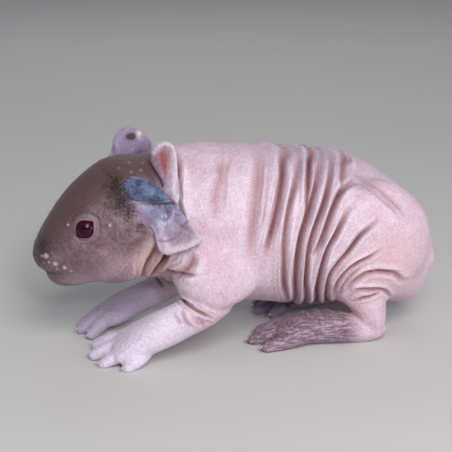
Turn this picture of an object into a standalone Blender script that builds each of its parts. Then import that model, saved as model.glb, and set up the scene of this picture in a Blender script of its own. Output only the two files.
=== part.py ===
"""Hairless guinea pig pup, crouching on all fours with its head held low: a life-size still model.

The nose points to -X, the left side faces -Y, and the soles rest at Z = 0. Lengths are in
millimetres until a mesh is made, where MM turns them into Blender's metres.
"""

import math
from collections import namedtuple

import bmesh
import bpy
import numpy as np
from mathutils import Matrix, Vector

MM = 0.001
GAP = 0.3
FUSE_VOXEL = 0.6
BODY_SOFTNESS = 1.3
FOOT_SOFTNESS = 0.5

# One upright section of the trunk: its place along X, its top and bottom and its half width.
Section = namedtuple("Section", "x top bottom half_width")

TRUNK = (
    Section(55.4, 27.2, 22.4, 4.5),
    Section(54.6, 29.2, 17.2, 7.4),
    Section(53.0, 31.6, 8.6, 9.6),
    Section(51.0, 34.2, 5.2, 11.8),
    Section(48.8, 36.6, 4.8, 14.2),
    Section(45.4, 39.8, 5.0, 17.4),
    Section(39.5, 44.0, 6.4, 20.4),
    Section(32.0, 48.2, 7.0, 21.2),
    Section(25.0, 50.0, 7.4, 21.0),
    Section(17.5, 51.2, 8.0, 20.5),
    Section(10.0, 52.2, 8.8, 20.0),
    Section(3.0, 52.9, 10.0, 19.3),
    Section(-4.0, 53.4, 11.6, 18.3),
    Section(-10.0, 54.0, 14.0, 17.3),
    Section(-16.0, 53.8, 16.3, 16.2),
    Section(-21.0, 52.8, 18.0, 15.2),
    Section(-26.5, 52.0, 19.4, 14.6),
    Section(-32.5, 52.2, 19.6, 14.2),
    Section(-37.0, 50.7, 19.2, 13.4),
    Section(-42.0, 47.2, 18.8, 12.0),
    Section(-45.0, 44.6, 19.4, 10.6),
    Section(-47.6, 41.6, 20.6, 9.1),
    Section(-49.8, 38.6, 21.8, 7.8),
    Section(-51.5, 36.0, 22.4, 7.0),
    Section(-53.1, 33.2, 23.4, 5.8),
    Section(-54.4, 30.6, 24.6, 4.2),
    Section(-55.2, 28.6, 25.8, 2.0),
)
WIDEST = 0.44
TRUNK_STEP = 0.8
TRUNK_SIDES = 64
# How far the plates that part the neck lean back, in degrees.
NECK_LEAN = 19.0

# A rounded swelling on each side of the body: its centre, its radii and how far it tilts nose down.
Swelling = namedtuple("Swelling", "x y z radii tilt")

HAUNCH = Swelling(33.0, 12.5, 26.5, (18.0, 9.5, 17.5), 8.0)
SHOULDER = Swelling(-9.0, 9.5, 33.0, (12.0, 8.0, 17.0), 0.0)
JOWL = Swelling(-34.0, 6.5, 28.5, (10.5, 7.6, 8.6), 8.0)
BROW = Swelling(-40.5, 7.2, 37.4, (6.0, 4.2, 5.6), 35.0)
WHISKER_PAD = Swelling(-48.8, 3.4, 27.4, (4.6, 4.0, 4.4), 20.0)
CHIN = Swelling(-44.0, 0.0, 22.6, (8.0, 6.0, 4.6), 8.0)
TAIL_NUB = Swelling(55.8, 0.0, 16.4, (2.9, 3.0, 4.8), 0.0)

# A limb's station: a point, then the half width across the limb and the half height.
Station = namedtuple("Station", "x y z across high")

UPPER_ARM = (
    Station(-7.0, 9.0, 34.0, 6.0, 11.0),
    Station(-8.6, 12.5, 27.5, 6.5, 11.8),
    Station(-9.8, 14.1, 21.5, 7.0, 12.2),
    Station(-10.4, 15.1, 17.4, 6.3, 9.8),
    Station(-10.6, 15.5, 14.4, 4.8, 5.6),
    Station(-10.4, 15.6, 12.8, 2.4, 2.8),
)
FOREARM = (
    Station(-8.0, 15.0, 15.5, 3.4, 3.4),
    Station(-13.0, 15.8, 14.0, 4.4, 4.6),
    Station(-18.5, 16.2, 12.2, 4.5, 4.9),
    Station(-24.0, 16.0, 9.9, 4.8, 5.0),
    Station(-28.5, 14.8, 7.6, 5.8, 4.5),
    Station(-32.5, 12.9, 5.4, 6.8, 3.6),
    Station(-35.5, 11.8, 3.8, 6.6, 2.6),
)
# The right forearm lies lower than the left one.
RIGHT_FOREARM = (
    Station(-8.0, 15.0, 14.5, 3.4, 3.4),
    Station(-13.0, 15.8, 11.6, 4.2, 4.2),
    Station(-18.5, 16.2, 8.9, 4.4, 4.2),
    Station(-24.0, 16.0, 6.9, 4.8, 4.0),
    Station(-28.5, 14.8, 5.6, 5.8, 3.7),
    Station(-32.5, 12.9, 4.5, 6.8, 3.1),
    Station(-35.5, 11.8, 3.6, 6.6, 2.5),
)
FINGERS = (
    (Station(-28.0, 15.6, 4.8, 1.8, 1.8), Station(-32.2, 18.4, 2.8, 2.1, 2.1),
     Station(-35.2, 19.3, 1.3, 1.6, 1.4)),
    (Station(-31.5, 14.0, 4.8, 1.9, 2.0), Station(-37.0, 15.2, 3.0, 1.9, 1.9),
     Station(-40.6, 14.9, 1.4, 1.5, 1.4)),
    (Station(-32.5, 11.6, 5.0, 1.9, 2.0), Station(-38.4, 10.6, 3.4, 1.9, 2.0),
     Station(-42.0, 9.6, 1.7, 1.5, 1.5)),
    (Station(-31.0, 9.6, 5.6, 1.8, 2.0), Station(-37.0, 6.0, 4.0, 1.8, 2.0),
     Station(-40.2, 4.0, 2.0, 1.4, 1.6)),
)
SHANK = (
    Station(27.0, 14.0, 24.0, 7.0, 9.0),
    Station(30.0, 15.5, 16.0, 5.5, 7.0),
    Station(32.0, 16.5, 10.5, 4.6, 5.0),
    Station(33.2, 16.6, 6.5, 4.0, 4.2),
    Station(34.0, 16.3, 3.6, 3.4, 3.0),
)
HIND_SOLE = (
    Station(35.2, 16.0, 3.4, 3.2, 2.8),
    Station(32.0, 15.9, 3.9, 3.9, 3.8),
    Station(25.5, 15.0, 4.4, 4.4, 4.2),
    Station(17.5, 13.6, 4.7, 4.9, 4.2),
    Station(12.0, 12.4, 3.8, 5.4, 3.4),
    Station(8.5, 11.4, 3.0, 5.2, 2.4),
)
HIND_TOES = (
    (Station(14.0, 16.2, 3.6, 2.2, 2.2), Station(8.0, 16.8, 2.6, 1.9, 1.9),
     Station(3.2, 16.6, 1.4, 1.6, 1.5)),
    (Station(13.0, 12.2, 4.4, 2.3, 2.4), Station(6.5, 11.4, 3.2, 2.1, 2.1),
     Station(1.2, 10.6, 1.6, 1.6, 1.6)),
    (Station(14.0, 8.4, 4.6, 2.1, 2.3), Station(8.5, 6.9, 3.4, 1.9, 2.0),
     Station(4.4, 5.6, 1.7, 1.5, 1.6)),
)
# How far the right hind foot stands behind the mirrored place of the left one.
RIGHT_HINDFOOT_BACK = 8.0

# The feet are made a little too low, so that the floor plane leaves a small flat under each toe.
FOOT_SINK = 0.5

# How high the ridges beside a fold rise, as a share of its depth, on the sides and on the face.
SIDE_LIP = 0.35
FACE_LIP = 0.12
# The right side's folds are drawn a little off the mirrored places: all of them, and the neck's more.
FAR_DRIFT = 1.2
FAR_NECK_DRIFT = 1.5
NECK_BEFORE = -12.0

# A fold: how deep and how wide its valley is, and its path over the left side as (x, z) places.
Fold = namedtuple("Fold", "depth width path")
SIDE_FOLDS = (
    Fold(0.3, 2.0, ((-4.1, 52.7), (-7.4, 49.3), (-10.0, 42.8), (-11.5, 36.0))),
    Fold(0.5, 1.6, ((6.8, 54.0), (3.6, 48.9), (2.0, 45.3), (-0.6, 38.4), (-1.8, 29.5), (-1.2, 26.2))),
    Fold(0.9, 1.1, ((14.4, 54.0), (10.4, 49.0), (7.4, 43.8), (4.9, 38.1), (2.4, 32.0), (2.7, 26.6))),
    Fold(0.6, 1.1, ((16.6, 53.0), (14.4, 49.6), (12.4, 46.8), (9.4, 40.2), (7.6, 30.3), (7.3, 21.9),
                    (8.4, 15.5))),
    Fold(0.6, 0.9, ((18.6, 53.5), (16.9, 49.4), (14.6, 45.0))),
    Fold(1.2, 1.0, ((23.4, 53.0), (20.1, 49.1), (18.2, 46.3), (14.3, 39.9), (11.4, 32.7), (10.1, 24.7),
                    (10.8, 15.5), (12.8, 9.0))),
    Fold(0.9, 0.9, ((26.4, 52.5), (23.0, 47.9), (19.4, 41.8), (16.2, 35.6), (13.4, 28.0), (13.0, 23.0))),
    Fold(1.3, 1.0, ((24.6, 44.0), (22.0, 41.0), (18.8, 36.4), (16.5, 31.1), (14.2, 24.4), (13.5, 17.0),
                    (15.1, 9.5))),
    Fold(1.0, 0.9, ((26.2, 42.6), (22.3, 36.2), (19.2, 30.9), (17.1, 25.1), (16.4, 18.1), (17.6, 10.5))),
    Fold(1.2, 0.9, ((28.0, 38.6), (25.2, 31.8), (21.4, 25.9), (19.2, 20.8), (19.0, 16.0), (20.4, 10.5))),
    Fold(0.4, 0.9, ((30.0, 33.4), (24.6, 27.9), (22.4, 25.0))),
    Fold(0.9, 0.8, ((28.6, 25.8), (24.8, 22.3), (21.9, 18.1), (22.2, 12.6))),
    Fold(0.5, 0.7, ((29.4, 24.4), (25.4, 21.1), (22.9, 16.6))),
    Fold(0.9, 0.8, ((23.0, 15.3), (25.1, 18.3), (30.1, 21.0), (36.5, 20.3), (39.6, 17.4))),
    Fold(0.7, 0.7, ((23.1, 15.0), (27.2, 16.6), (34.4, 15.9), (37.6, 13.0))),
    Fold(0.7, 1.2, ((22.6, 15.6), (24.6, 13.2))),
    Fold(0.5, 1.1, ((24.0, 43.1), (29.4, 43.8), (33.9, 41.7), (39.1, 37.1))),
    Fold(0.8, 1.1, ((-17.2, 54.0), (-18.7, 49.5), (-19.9, 42.9), (-18.6, 36.0))),
    Fold(0.5, 1.2, ((-31.7, 32.6), (-32.2, 28.1), (-32.0, 20.0))),
    Fold(0.8, 1.1, ((-25.2, 33.0), (-26.5, 26.6), (-26.4, 19.0))),
    Fold(1.1, 1.0, ((-22.6, 32.0), (-23.8, 26.0), (-24.2, 19.0))),
    Fold(0.6, 1.3, ((-14.6, 32.0), (-18.0, 26.4), (-20.2, 20.5))),
    Fold(0.9, 0.9, ((-23.0, 22.6), (-20.6, 23.9), (-18.0, 24.3), (-15.4, 23.8))),
    Fold(0.9, 0.7, ((-22.4, 19.6), (-20.4, 17.6), (-17.6, 15.6), (-14.6, 13.8), (-12.0, 12.0))),
    Fold(0.4, 0.6, ((-20.6, 15.8), (-20.0, 13.4), (-18.0, 10.0))),
    Fold(0.4, 0.6, ((-17.2, 13.9), (-16.0, 12.2), (-14.2, 10.2))),
)
# Face creases over the left side as (x, y, z) places.
FACE_CREASES = (
    Fold(0.35, 0.55, ((-46.7, -8.0, 36.6), (-46.2, -7.9, 38.4), (-45.0, -8.6, 39.9), (-42.4, -10.1, 40.7),
                      (-40.6, -11.2, 39.6))),
    Fold(0.3, 0.55, ((-40.0, -12.0, 36.0), (-40.7, -12.2, 34.2), (-43.0, -11.6, 32.4), (-45.4, -10.2, 32.0))),
    Fold(1.2, 0.65, ((-54.2, -1.9, 31.4), (-53.7, -3.4, 30.6), (-53.2, -4.6, 29.9), (-52.7, -5.0, 30.4))),
    Fold(0.8, 0.6, ((-53.8, 0.0, 23.6), (-52.3, -1.9, 23.2), (-50.8, -3.6, 22.9), (-49.2, -4.9, 22.9),
                    (-47.8, -6.2, 23.2))),
    Fold(0.7, 0.6, ((-55.8, 0.0, 28.6), (-55.0, 0.0, 26.0), (-53.6, 0.0, 23.8))),
)
EYE_CENTRE = (-42.4, -9.2, 36.2)
EYE_RADIUS = 3.2
EYE_AXIS = (-0.404, -0.909, 0.101)
LID_RADIUS = 3.5
LID_RISE = 0.7
LID_WIDTH = 0.7

# The ear's outline over the left side, from its front top corner round the back, as (x, y, z).
EAR_OUTLINE = (
    (-32.2, -8.0, 47.8), (-30.5, -9.0, 48.5), (-28.1, -10.0, 48.6), (-25.2, -12.0, 47.1),
    (-22.9, -14.0, 45.6), (-21.2, -15.5, 44.0), (-19.2, -17.0, 40.6), (-17.7, -18.0, 38.2),
    (-16.1, -18.8, 35.4), (-14.7, -19.0, 32.9), (-17.6, -19.5, 32.0), (-20.9, -20.0, 31.1),
    (-24.5, -20.0, 31.0), (-25.9, -19.0, 32.2), (-26.5, -17.4, 34.2), (-27.3, -15.6, 36.6),
    (-28.9, -14.6, 38.2), (-30.7, -13.4, 41.0), (-31.9, -12.2, 43.4), (-32.8, -10.4, 45.8),
)
EAR_CENTRE = (-24.6, 40.4)
EAR_THICKNESS = 1.0
# The upright flap behind the top of the ear.
FLAP_OUTLINE = (
    (-25.6, -6.0, 52.6), (-24.6, -6.0, 54.8), (-23.5, -6.5, 56.4), (-21.7, -7.5, 57.2),
    (-19.9, -9.0, 56.7), (-19.3, -10.0, 54.5), (-19.4, -12.4, 49.6), (-19.8, -15.6, 44.0),
    (-20.6, -16.4, 42.0), (-22.6, -15.0, 44.0), (-23.8, -11.4, 48.2), (-25.0, -8.2, 50.6),
)
FLAP_CENTRE = (-22.0, 51.5)
# The right ear's flap stands broader and higher over the crown.
RIGHT_FLAP_OUTLINE = (
    (-32.4, -8.0, 50.0), (-31.2, -9.6, 53.6), (-29.8, -10.8, 56.2), (-27.4, -11.6, 57.0),
    (-24.8, -11.6, 56.2), (-22.4, -11.0, 54.6), (-20.2, -11.6, 51.4), (-19.4, -14.0, 46.6),
    (-21.0, -15.8, 43.0), (-25.0, -14.4, 43.6), (-29.0, -11.6, 45.0), (-32.0, -8.6, 47.4),
)
RIGHT_FLAP_CENTRE = (-26.0, 50.0)
# The domed fold and the hollow under it: the rise, the centre over (x, z) and the spread of each.
Relief = namedtuple("Relief", "rise x z wide high")

DOME = Relief(2.8, -27.6, 45.6, 5.0, 3.2)
HOLLOW = Relief(0.9, -24.5, 40.6, 3.6, 2.4)
# The lowest place of the dome's lower margin, and how it curves up on both sides.
MARGIN_X = -27.0
MARGIN_Z = 42.9
MARGIN_CURVE = 0.05 / 3.0
MARGIN_SOFTNESS = 0.25

DECIMATED = 8200
# How strongly the face and the feet are kept finer than the rest.
FINE_FACTOR = 1e-3
FACE_BEFORE = -36.0
FEET_BELOW = 7.0

# The plates that part the neck cross it through their place along X at the height PLATE_HEIGHT.
PLATE_HEIGHT = 36.0
PLATE_REACH = 30.0
PLATE_TOP = 66.0
HEAD_PLATE_X = -20.6
HEAD_PLATE_BOTTOM = 15.5
NECK_PLATE_X = -13.2
NECK_PLATE_BOTTOM = 13.0
# The neck's plate steps in between the upper arms: how far out and up to what height.
NECK_STEP = (9.65, 34.9)

# A cup round a limb's root: the centre and radii of its oval, and how far out its floor lies.
Cup = namedtuple("Cup", "centre radii inner outer")

SHOULDER_CUP = Cup((-9.4, 23.0), (12.8, 12.8), 9.5, 30.0)
HAUNCH_CUP = Cup((33.0, 26.5), (16.0, 16.2), 10.2, 30.0)
ANKLE_CUP = Cup((33.0, 17.0), (8.0, 5.4), -10.4, -8.5)
# The right ankle's cup is this much longer, because that leg leans back.
RIGHT_ANKLE_LONGER = 2.0

# A wrist's cut: its place along X and Y, its lean in degrees, its width and its height on each side.
WRIST_PLACE = (-26.5, 15.8)
WRIST_LEAN = -24.0
WRIST_WIDTH = 14.0
WRIST_HEIGHT = {-1: 8.6, 1: 7.0}

# Loose scraps of a cut have fewer faces than this, or less volume in cubic millimetres.
SCRAP_FACES = 20
SCRAP_VOLUME = 20.0

# The nodes that don't wear the body's skin, by the first word of their names.
WEARS = {"head": "head", "ear": "ear", "eye": "eye", "forefoot": "foot", "hindfoot": "foot"}

# Where each piece of the cut body is found.
PIECES = {
    "head": (-38, 0, 33),
    "neck": (-18, 0, 35),
    "torso": (18, 0, 30),
    "upper_arm_left": (-9, -14, 24),
    "upper_arm_right": (-9, 14, 24),
    "forearm_left": (-20, -16, 11),
    "forearm_right": (-20, 16, 9),
    "forefoot_left": (-34, -13, 3),
    "forefoot_right": (-34, 13, 3),
    "thigh_left": (33, -16, 25),
    "thigh_right": (33, 16, 25),
    "hindfoot_left": (18, -14, 4),
    "hindfoot_right": (26, 14, 4),
}


def smooth_through(places, values, at):
    """Values at any place on a smooth curve through a few knots: a cubic Hermite spline."""
    order = np.argsort(places)
    x = np.asarray(places, float)[order]
    y = np.asarray(values, float)[order]
    slope = np.gradient(y, x)
    i = np.clip(np.searchsorted(x, at) - 1, 0, len(x) - 2)
    span = x[i + 1] - x[i]
    t = (at - x[i]) / span
    return (
        (2 * t**3 - 3 * t**2 + 1) * y[i]
        + (t**3 - 2 * t**2 + t) * span * slope[i]
        + (3 * t**2 - 2 * t**3) * y[i + 1]
        + (t**3 - t**2) * span * slope[i + 1]
    )


def outward(name, mesh):
    """An object of the mesh with every face turned outward; the mesh is used up."""
    bmesh.ops.recalc_face_normals(mesh, faces=mesh.faces)
    data = bpy.data.meshes.new(name)
    mesh.to_mesh(data)
    mesh.free()
    return bpy.data.objects.new(name, data)


def closed_skin(name, rings):
    """A closed mesh through rings of points in mm, each end closed by a fan."""
    count, sides = len(rings), len(rings[0])
    mesh = bmesh.new()
    loops = [[mesh.verts.new(Vector(p) * MM) for p in ring] for ring in rings]
    for first, second in zip(loops, loops[1:]):
        for k in range(sides):
            mesh.faces.new((first[k], first[(k + 1) % sides], second[(k + 1) % sides], second[k]))
    for loop in (loops[0], loops[count - 1]):
        pole = mesh.verts.new(sum((v.co for v in loop), Vector()) / sides)
        for k in range(sides):
            mesh.faces.new((loop[k], loop[(k + 1) % sides], pole))
    return outward(name, mesh)


def trunk():
    """The head, neck and body as one form through the upright sections."""
    knots = np.array(TRUNK)
    x = np.arange(knots[-1, 0], knots[0, 0] + TRUNK_STEP / 2, TRUNK_STEP)
    top, bottom, half = (smooth_through(knots[:, 0], knots[:, c], x) for c in (1, 2, 3))
    middle = bottom + WIDEST * (top - bottom)
    angle = np.linspace(0, 2 * math.pi, TRUNK_SIDES, endpoint=False)
    rings = []
    for i in range(len(x)):
        high = np.where(np.sin(angle) > 0, top[i] - middle[i], middle[i] - bottom[i])
        rings.append(np.stack([
            np.full(TRUNK_SIDES, x[i]),
            half[i] * np.cos(angle),
            middle[i] + high * np.sin(angle),
        ], axis=1))
    return closed_skin("trunk", rings)


def limb(name, stations, sides=24, steps=18):
    """A rounded limb whose centre line and thickness run smoothly through its stations."""
    knots = np.array(stations)
    along = np.concatenate([[0], np.cumsum(np.linalg.norm(np.diff(knots[:, :3], axis=0), axis=1))])
    at = np.linspace(0, along[-1], steps)
    x, y, z, across, high = (smooth_through(along, knots[:, c], at) for c in range(5))
    centres = np.stack([x, y, z], axis=1)
    tangents = np.gradient(centres, at, axis=0)
    tangents /= np.linalg.norm(tangents, axis=1)[:, None]
    angle = np.linspace(0, 2 * math.pi, sides, endpoint=False)
    rings = []

    def ring(centre, tangent, a, h):
        side = np.array([0.0, 1.0, 0.0])
        side = side - tangent * (side @ tangent)
        side /= np.linalg.norm(side)
        up = np.cross(tangent, side)
        return centre + np.outer(a * np.cos(angle), side) + np.outer(h * np.sin(angle), up)

    cap = ((0.35, 0.75), (0.8, 0.45))
    for push, shrink in reversed(cap):
        end = centres[0] - tangents[0] * push * min(across[0], high[0])
        rings.append(ring(end, tangents[0], across[0] * shrink, high[0] * shrink))
    for i in range(steps):
        rings.append(ring(centres[i], tangents[i], across[i], high[i]))
    for push, shrink in cap:
        end = centres[-1] + tangents[-1] * push * min(across[-1], high[-1])
        rings.append(ring(end, tangents[-1], across[-1] * shrink, high[-1] * shrink))
    return closed_skin(name, rings)


def ellipsoid(name, centre, radii, tilt=0.0):
    """A closed ellipsoid in mm, tilted about Y by degrees, nose end down when positive."""
    mesh = bmesh.new()
    bmesh.ops.create_uvsphere(mesh, u_segments=24, v_segments=14, radius=1.0)
    place = (
        Matrix.Translation(Vector(centre) * MM)
        @ Matrix.Rotation(math.radians(-tilt), 4, "Y")
        @ Matrix.Diagonal((*(Vector(radii) * MM), 1.0))
    )
    bmesh.ops.transform(mesh, matrix=place, verts=mesh.verts)
    return outward(name, mesh)


def swelling(name, form, side=1):
    """A swelling of the body on one side of it, -1 left and 1 right."""
    return ellipsoid(name, (form.x, side * form.y, form.z), form.radii, form.tilt)


def shifted(stations, side, back=0.0, sink=0.0):
    """The stations on one side of the body, -1 left and 1 right, moved back and down."""
    return [s._replace(x=s.x + back, y=side * s.y, z=s.z - sink) for s in stations]


def leaning(stations, back):
    """The stations with each lower one moved back more, so that the limb leans backward."""
    high, low = stations[0].z, stations[-1].z
    return [s._replace(x=s.x + back * (high - s.z) / (high - low)) for s in stations]


def fuse(name, forms, voxel, softness):
    """One closed skin round all the forms, smoothed over about softness mm."""
    joined = bmesh.new()
    for form in forms:
        joined.from_mesh(form.data)
        bpy.data.objects.remove(form)
    data = bpy.data.meshes.new(name)
    joined.to_mesh(data)
    joined.free()
    obj = bpy.data.objects.new(name, data)
    bpy.context.scene.collection.objects.link(obj)
    remesh = obj.modifiers.new("fuse", "REMESH")
    remesh.mode = "VOXEL"
    remesh.voxel_size = voxel * MM
    smooth = obj.modifiers.new("soften", "SMOOTH")
    smooth.factor = 0.5
    smooth.iterations = max(1, round(4 * (softness / voxel) ** 2))
    graph = bpy.context.evaluated_depsgraph_get()
    fused = bpy.data.meshes.new_from_object(obj.evaluated_get(graph))
    bpy.data.objects.remove(obj)
    return bpy.data.objects.new(name, fused)


def body_forms():
    """The big forms of the body, without the feet."""
    forms = [trunk()]
    for side in (-1, 1):
        forms += [
            swelling("haunch", HAUNCH, side),
            swelling("shoulder", SHOULDER, side),
            swelling("jowl", JOWL, side),
            swelling("brow", BROW, side),
            swelling("whisker_pad", WHISKER_PAD, side),
        ]
    forms.append(swelling("chin", CHIN))
    return forms


def limb_forms():
    """The legs above the feet. The right hind leg leans a little further back."""
    forms = []
    for side, back in ((-1, 0.0), (1, RIGHT_HINDFOOT_BACK)):
        forms += [
            limb("upper_arm", shifted(UPPER_ARM, side)),
            limb("shank", leaning(shifted(SHANK, side), back)),
        ]
    return forms


def small_forms():
    """Forearms, soles, toes and the nub of the tail."""
    forms = [swelling("tail_nub", TAIL_NUB)]
    for side, forearm, back in ((-1, FOREARM, 0.0), (1, RIGHT_FOREARM, RIGHT_HINDFOOT_BACK)):
        forms.append(limb("forearm", shifted(forearm, side, 0.0, FOOT_SINK)))
        forms.append(limb("sole", shifted(HIND_SOLE, side, back, FOOT_SINK)))
        forms += [limb("finger", shifted(f, side, 0.0, FOOT_SINK), 12, 8) for f in FINGERS]
        forms += [limb("toe", shifted(t, side, back, FOOT_SINK), 12, 8) for t in HIND_TOES]
    return forms


def smooth_path(path, steps=28):
    """A smooth curve through the path's places."""
    knots = np.array(path, float)
    along = np.concatenate([[0], np.cumsum(np.linalg.norm(np.diff(knots, axis=0), axis=1))])
    at = np.linspace(0, along[-1], steps)
    return np.stack([smooth_through(along, knots[:, c], at) for c in range(knots.shape[1])], axis=1)


def from_path(points, path):
    """How far each point is from a path, and how far along the path it lies, from 0 to 1."""
    distance = np.full(len(points), 1e9)
    along = np.zeros(len(points))
    for i in range(len(path) - 1):
        leg = path[i + 1] - path[i]
        t = np.clip((points - path[i]) @ leg / (leg @ leg), 0, 1)
        d = np.linalg.norm(points - path[i] - t[:, None] * leg, axis=1)
        nearer = d < distance
        distance[nearer] = d[nearer]
        along[nearer] = (i + t[nearer]) / (len(path) - 1)
    return distance, along


def press(points, fold, path, lip):
    """How far a fold moves each point out of the skin: a valley between two low ridges."""
    distance, along = from_path(points, path)
    ends = np.clip(np.minimum(along, 1 - along) / 0.15, 0, 1)
    ends = ends * ends * (3 - 2 * ends)
    valley = np.exp(-(distance / fold.width) ** 2)
    ridge = np.exp(-((distance - 1.9 * fold.width) / fold.width) ** 2)
    return fold.depth * ends * (lip * ridge - valley)


def sculpt(obj):
    """Press the folds of the sides and the creases of the face into the skin, and raise the lids."""
    mesh = obj.data
    count = len(mesh.vertices)
    co = np.empty(count * 3)
    mesh.vertices.foreach_get("co", co)
    co = co.reshape(-1, 3) / MM
    normal = np.array([n.vector[:] for n in mesh.vertex_normals])
    move = np.zeros(count)
    for side, drift, neck_drift in ((-1, 0.0, 0.0), (1, FAR_DRIFT, FAR_NECK_DRIFT)):
        near = np.flatnonzero(side * co[:, 1] >= 0)
        flat = co[near][:, (0, 2)]
        for i, fold in enumerate(SIDE_FOLDS):
            path = smooth_path(fold.path)
            shift = drift * math.sin(2.3 * i) + neck_drift * (fold.path[0][0] < NECK_BEFORE)
            move[near] += press(flat - (shift, 0), fold, path, SIDE_LIP)
    for side in (-1, 1):
        mirror = np.array([1.0, -side, 1.0])
        for fold in FACE_CREASES:
            if side < 0 or fold.path[-1][1] != 0:
                move += press(co, fold, smooth_path(fold.path) * mirror, FACE_LIP)
        offset = co - np.array(EYE_CENTRE) * mirror
        along = offset @ (np.array(EYE_AXIS) * mirror)
        across = np.sqrt(np.maximum((offset**2).sum(axis=1) - along**2, 0))
        ring = np.exp(-((across - LID_RADIUS) / LID_WIDTH) ** 2)
        move += LID_RISE * ring * (along > 0)
    co += normal * move[:, None]
    mesh.vertices.foreach_set("co", (co * MM).ravel())
    mesh.update()


def fineness(obj):
    """1 over the face, half over the feet and 0 elsewhere."""
    co = np.array([v.co[:] for v in obj.data.vertices]) / MM
    face = co[:, 0] < FACE_BEFORE
    feet = co[:, 2] < FEET_BELOW
    return np.where(face & ~feet, 1.0, np.where(feet, 0.5, 0.0))


def with_modifiers(obj):
    """The object with its modifiers applied."""
    bpy.context.scene.collection.objects.link(obj)
    graph = bpy.context.evaluated_depsgraph_get()
    mesh = bpy.data.meshes.new_from_object(obj.evaluated_get(graph))
    name = obj.name
    bpy.data.objects.remove(obj)
    return bpy.data.objects.new(name, mesh)


def lightened(obj, triangles, fine=None):
    """The object with its flatter areas drawn by fewer triangles, and fewest where fine is 0."""
    collapse = obj.modifiers.new("collapse", "DECIMATE")
    if fine is not None:
        group = obj.vertex_groups.new(name="coarse")
        for level in sorted(set(fine)):
            group.add(np.flatnonzero(fine == level).tolist(), 1 - 0.9 * float(level), "REPLACE")
        collapse.vertex_group = "coarse"
        collapse.vertex_group_factor = FINE_FACTOR
    total = sum(len(p.vertices) - 2 for p in obj.data.polygons)
    collapse.ratio = triangles / total
    return with_modifiers(obj)


def sideways(side, centre, a, b, depth):
    """A place on a cup whose floor is upright and whose wall runs out of one side of the body."""
    return centre[0] + a, side * depth, centre[1] + b


def downward(side, centre, a, b, depth):
    """A place on a cup whose floor is level and whose wall runs down."""
    return centre[0] + a, side * (centre[1] + b), -depth


def cup(name, side, form, facing=sideways, sides=40):
    """A thin cup round a limb's root: an oval floor at its inner depth and an oval wall to its outer."""
    mesh = bmesh.new()
    angle = [2 * math.pi * k / sides for k in range(sides)]
    rings = []
    for grow, depth in ((GAP, form.inner), (GAP, form.outer), (0.0, form.outer), (0.0, form.inner + GAP)):
        wide, high = form.radii[0] + grow, form.radii[1] + grow
        ring = [facing(side, form.centre, wide * math.cos(a), high * math.sin(a), depth) for a in angle]
        rings.append([mesh.verts.new(Vector(place) * MM) for place in ring])
    for first, second in zip(rings, rings[1:]):
        for k in range(sides):
            mesh.faces.new((first[k], first[(k + 1) % sides], second[(k + 1) % sides], second[k]))
    mesh.faces.new(rings[0])
    mesh.faces.new(rings[3])
    return outward(name, mesh)


def block(name, centre, size, tilt=0.0):
    """A box in mm, turned about Y by tilt degrees."""
    mesh = bmesh.new()
    bmesh.ops.create_cube(mesh, size=1.0)
    place = (
        Matrix.Translation(Vector(centre) * MM)
        @ Matrix.Rotation(math.radians(tilt), 4, "Y")
        @ Matrix.Diagonal((*(Vector(size) * MM), 1.0))
    )
    bmesh.ops.transform(mesh, matrix=place, verts=mesh.verts)
    return outward(name, mesh)


def plate(name, x, outline):
    """A thin plate across the neck at x, leaning with it, cut to an outline of (y, z) places."""
    lean = math.tan(math.radians(NECK_LEAN))
    mesh = bmesh.new()
    sheets = [
        [mesh.verts.new(Vector((x + push + lean * (z - PLATE_HEIGHT), y, z)) * MM) for y, z in outline]
        for push in (-GAP / 2, GAP / 2)
    ]
    for sheet in sheets:
        mesh.faces.new(sheet)
    for k in range(len(outline)):
        following = (k + 1) % len(outline)
        mesh.faces.new((sheets[0][k], sheets[0][following], sheets[1][following], sheets[1][k]))
    return outward(name, mesh)


def head_plate():
    """The plate between the head and the neck."""
    far, top, bottom = PLATE_REACH, PLATE_TOP, HEAD_PLATE_BOTTOM
    return plate("head_neck", HEAD_PLATE_X, ((-far, top), (-far, bottom), (far, bottom), (far, top)))


def neck_plate():
    """The plate between the neck and the body, stepped in between the upper arms."""
    far, top, bottom = PLATE_REACH, PLATE_TOP, NECK_PLATE_BOTTOM
    near, shelf = NECK_STEP
    left = ((-far, top), (-far, shelf), (-near, shelf), (-near, bottom))
    right = tuple((-y, z) for y, z in reversed(left))
    return plate("neck_torso", NECK_PLATE_X, left + right)


def wrist_cut(side):
    """The thin leaning block that frees a forefoot, standing clear of the floor."""
    x, y = WRIST_PLACE
    height = WRIST_HEIGHT[side]
    size = (GAP, WRIST_WIDTH, 2 * height - 3)
    return block("wrist", (x, side * y, height), size, WRIST_LEAN)


def body_cutters():
    """The thin cutters that part the body into its nodes, and the floor."""
    cutters = [head_plate(), neck_plate(), block("floor", (0, 0, -10), (200, 120, 20))]
    for side in (-1, 1):
        cutters += [
            cup("shoulder_cup", side, SHOULDER_CUP),
            cup("haunch_cup", side, HAUNCH_CUP),
            wrist_cut(side),
        ]
    return cutters


def ankle_cutters():
    """The level cups that free the lower hind legs."""
    centre, radii = ANKLE_CUP.centre, ANKLE_CUP.radii
    right = ANKLE_CUP._replace(
        centre=(centre[0] + RIGHT_HINDFOOT_BACK / 2, centre[1]),
        radii=(radii[0] + RIGHT_ANKLE_LONGER, radii[1]),
    )
    return [cup("ankle_cup", side, form, downward) for side, form in ((-1, ANKLE_CUP), (1, right))]


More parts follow.
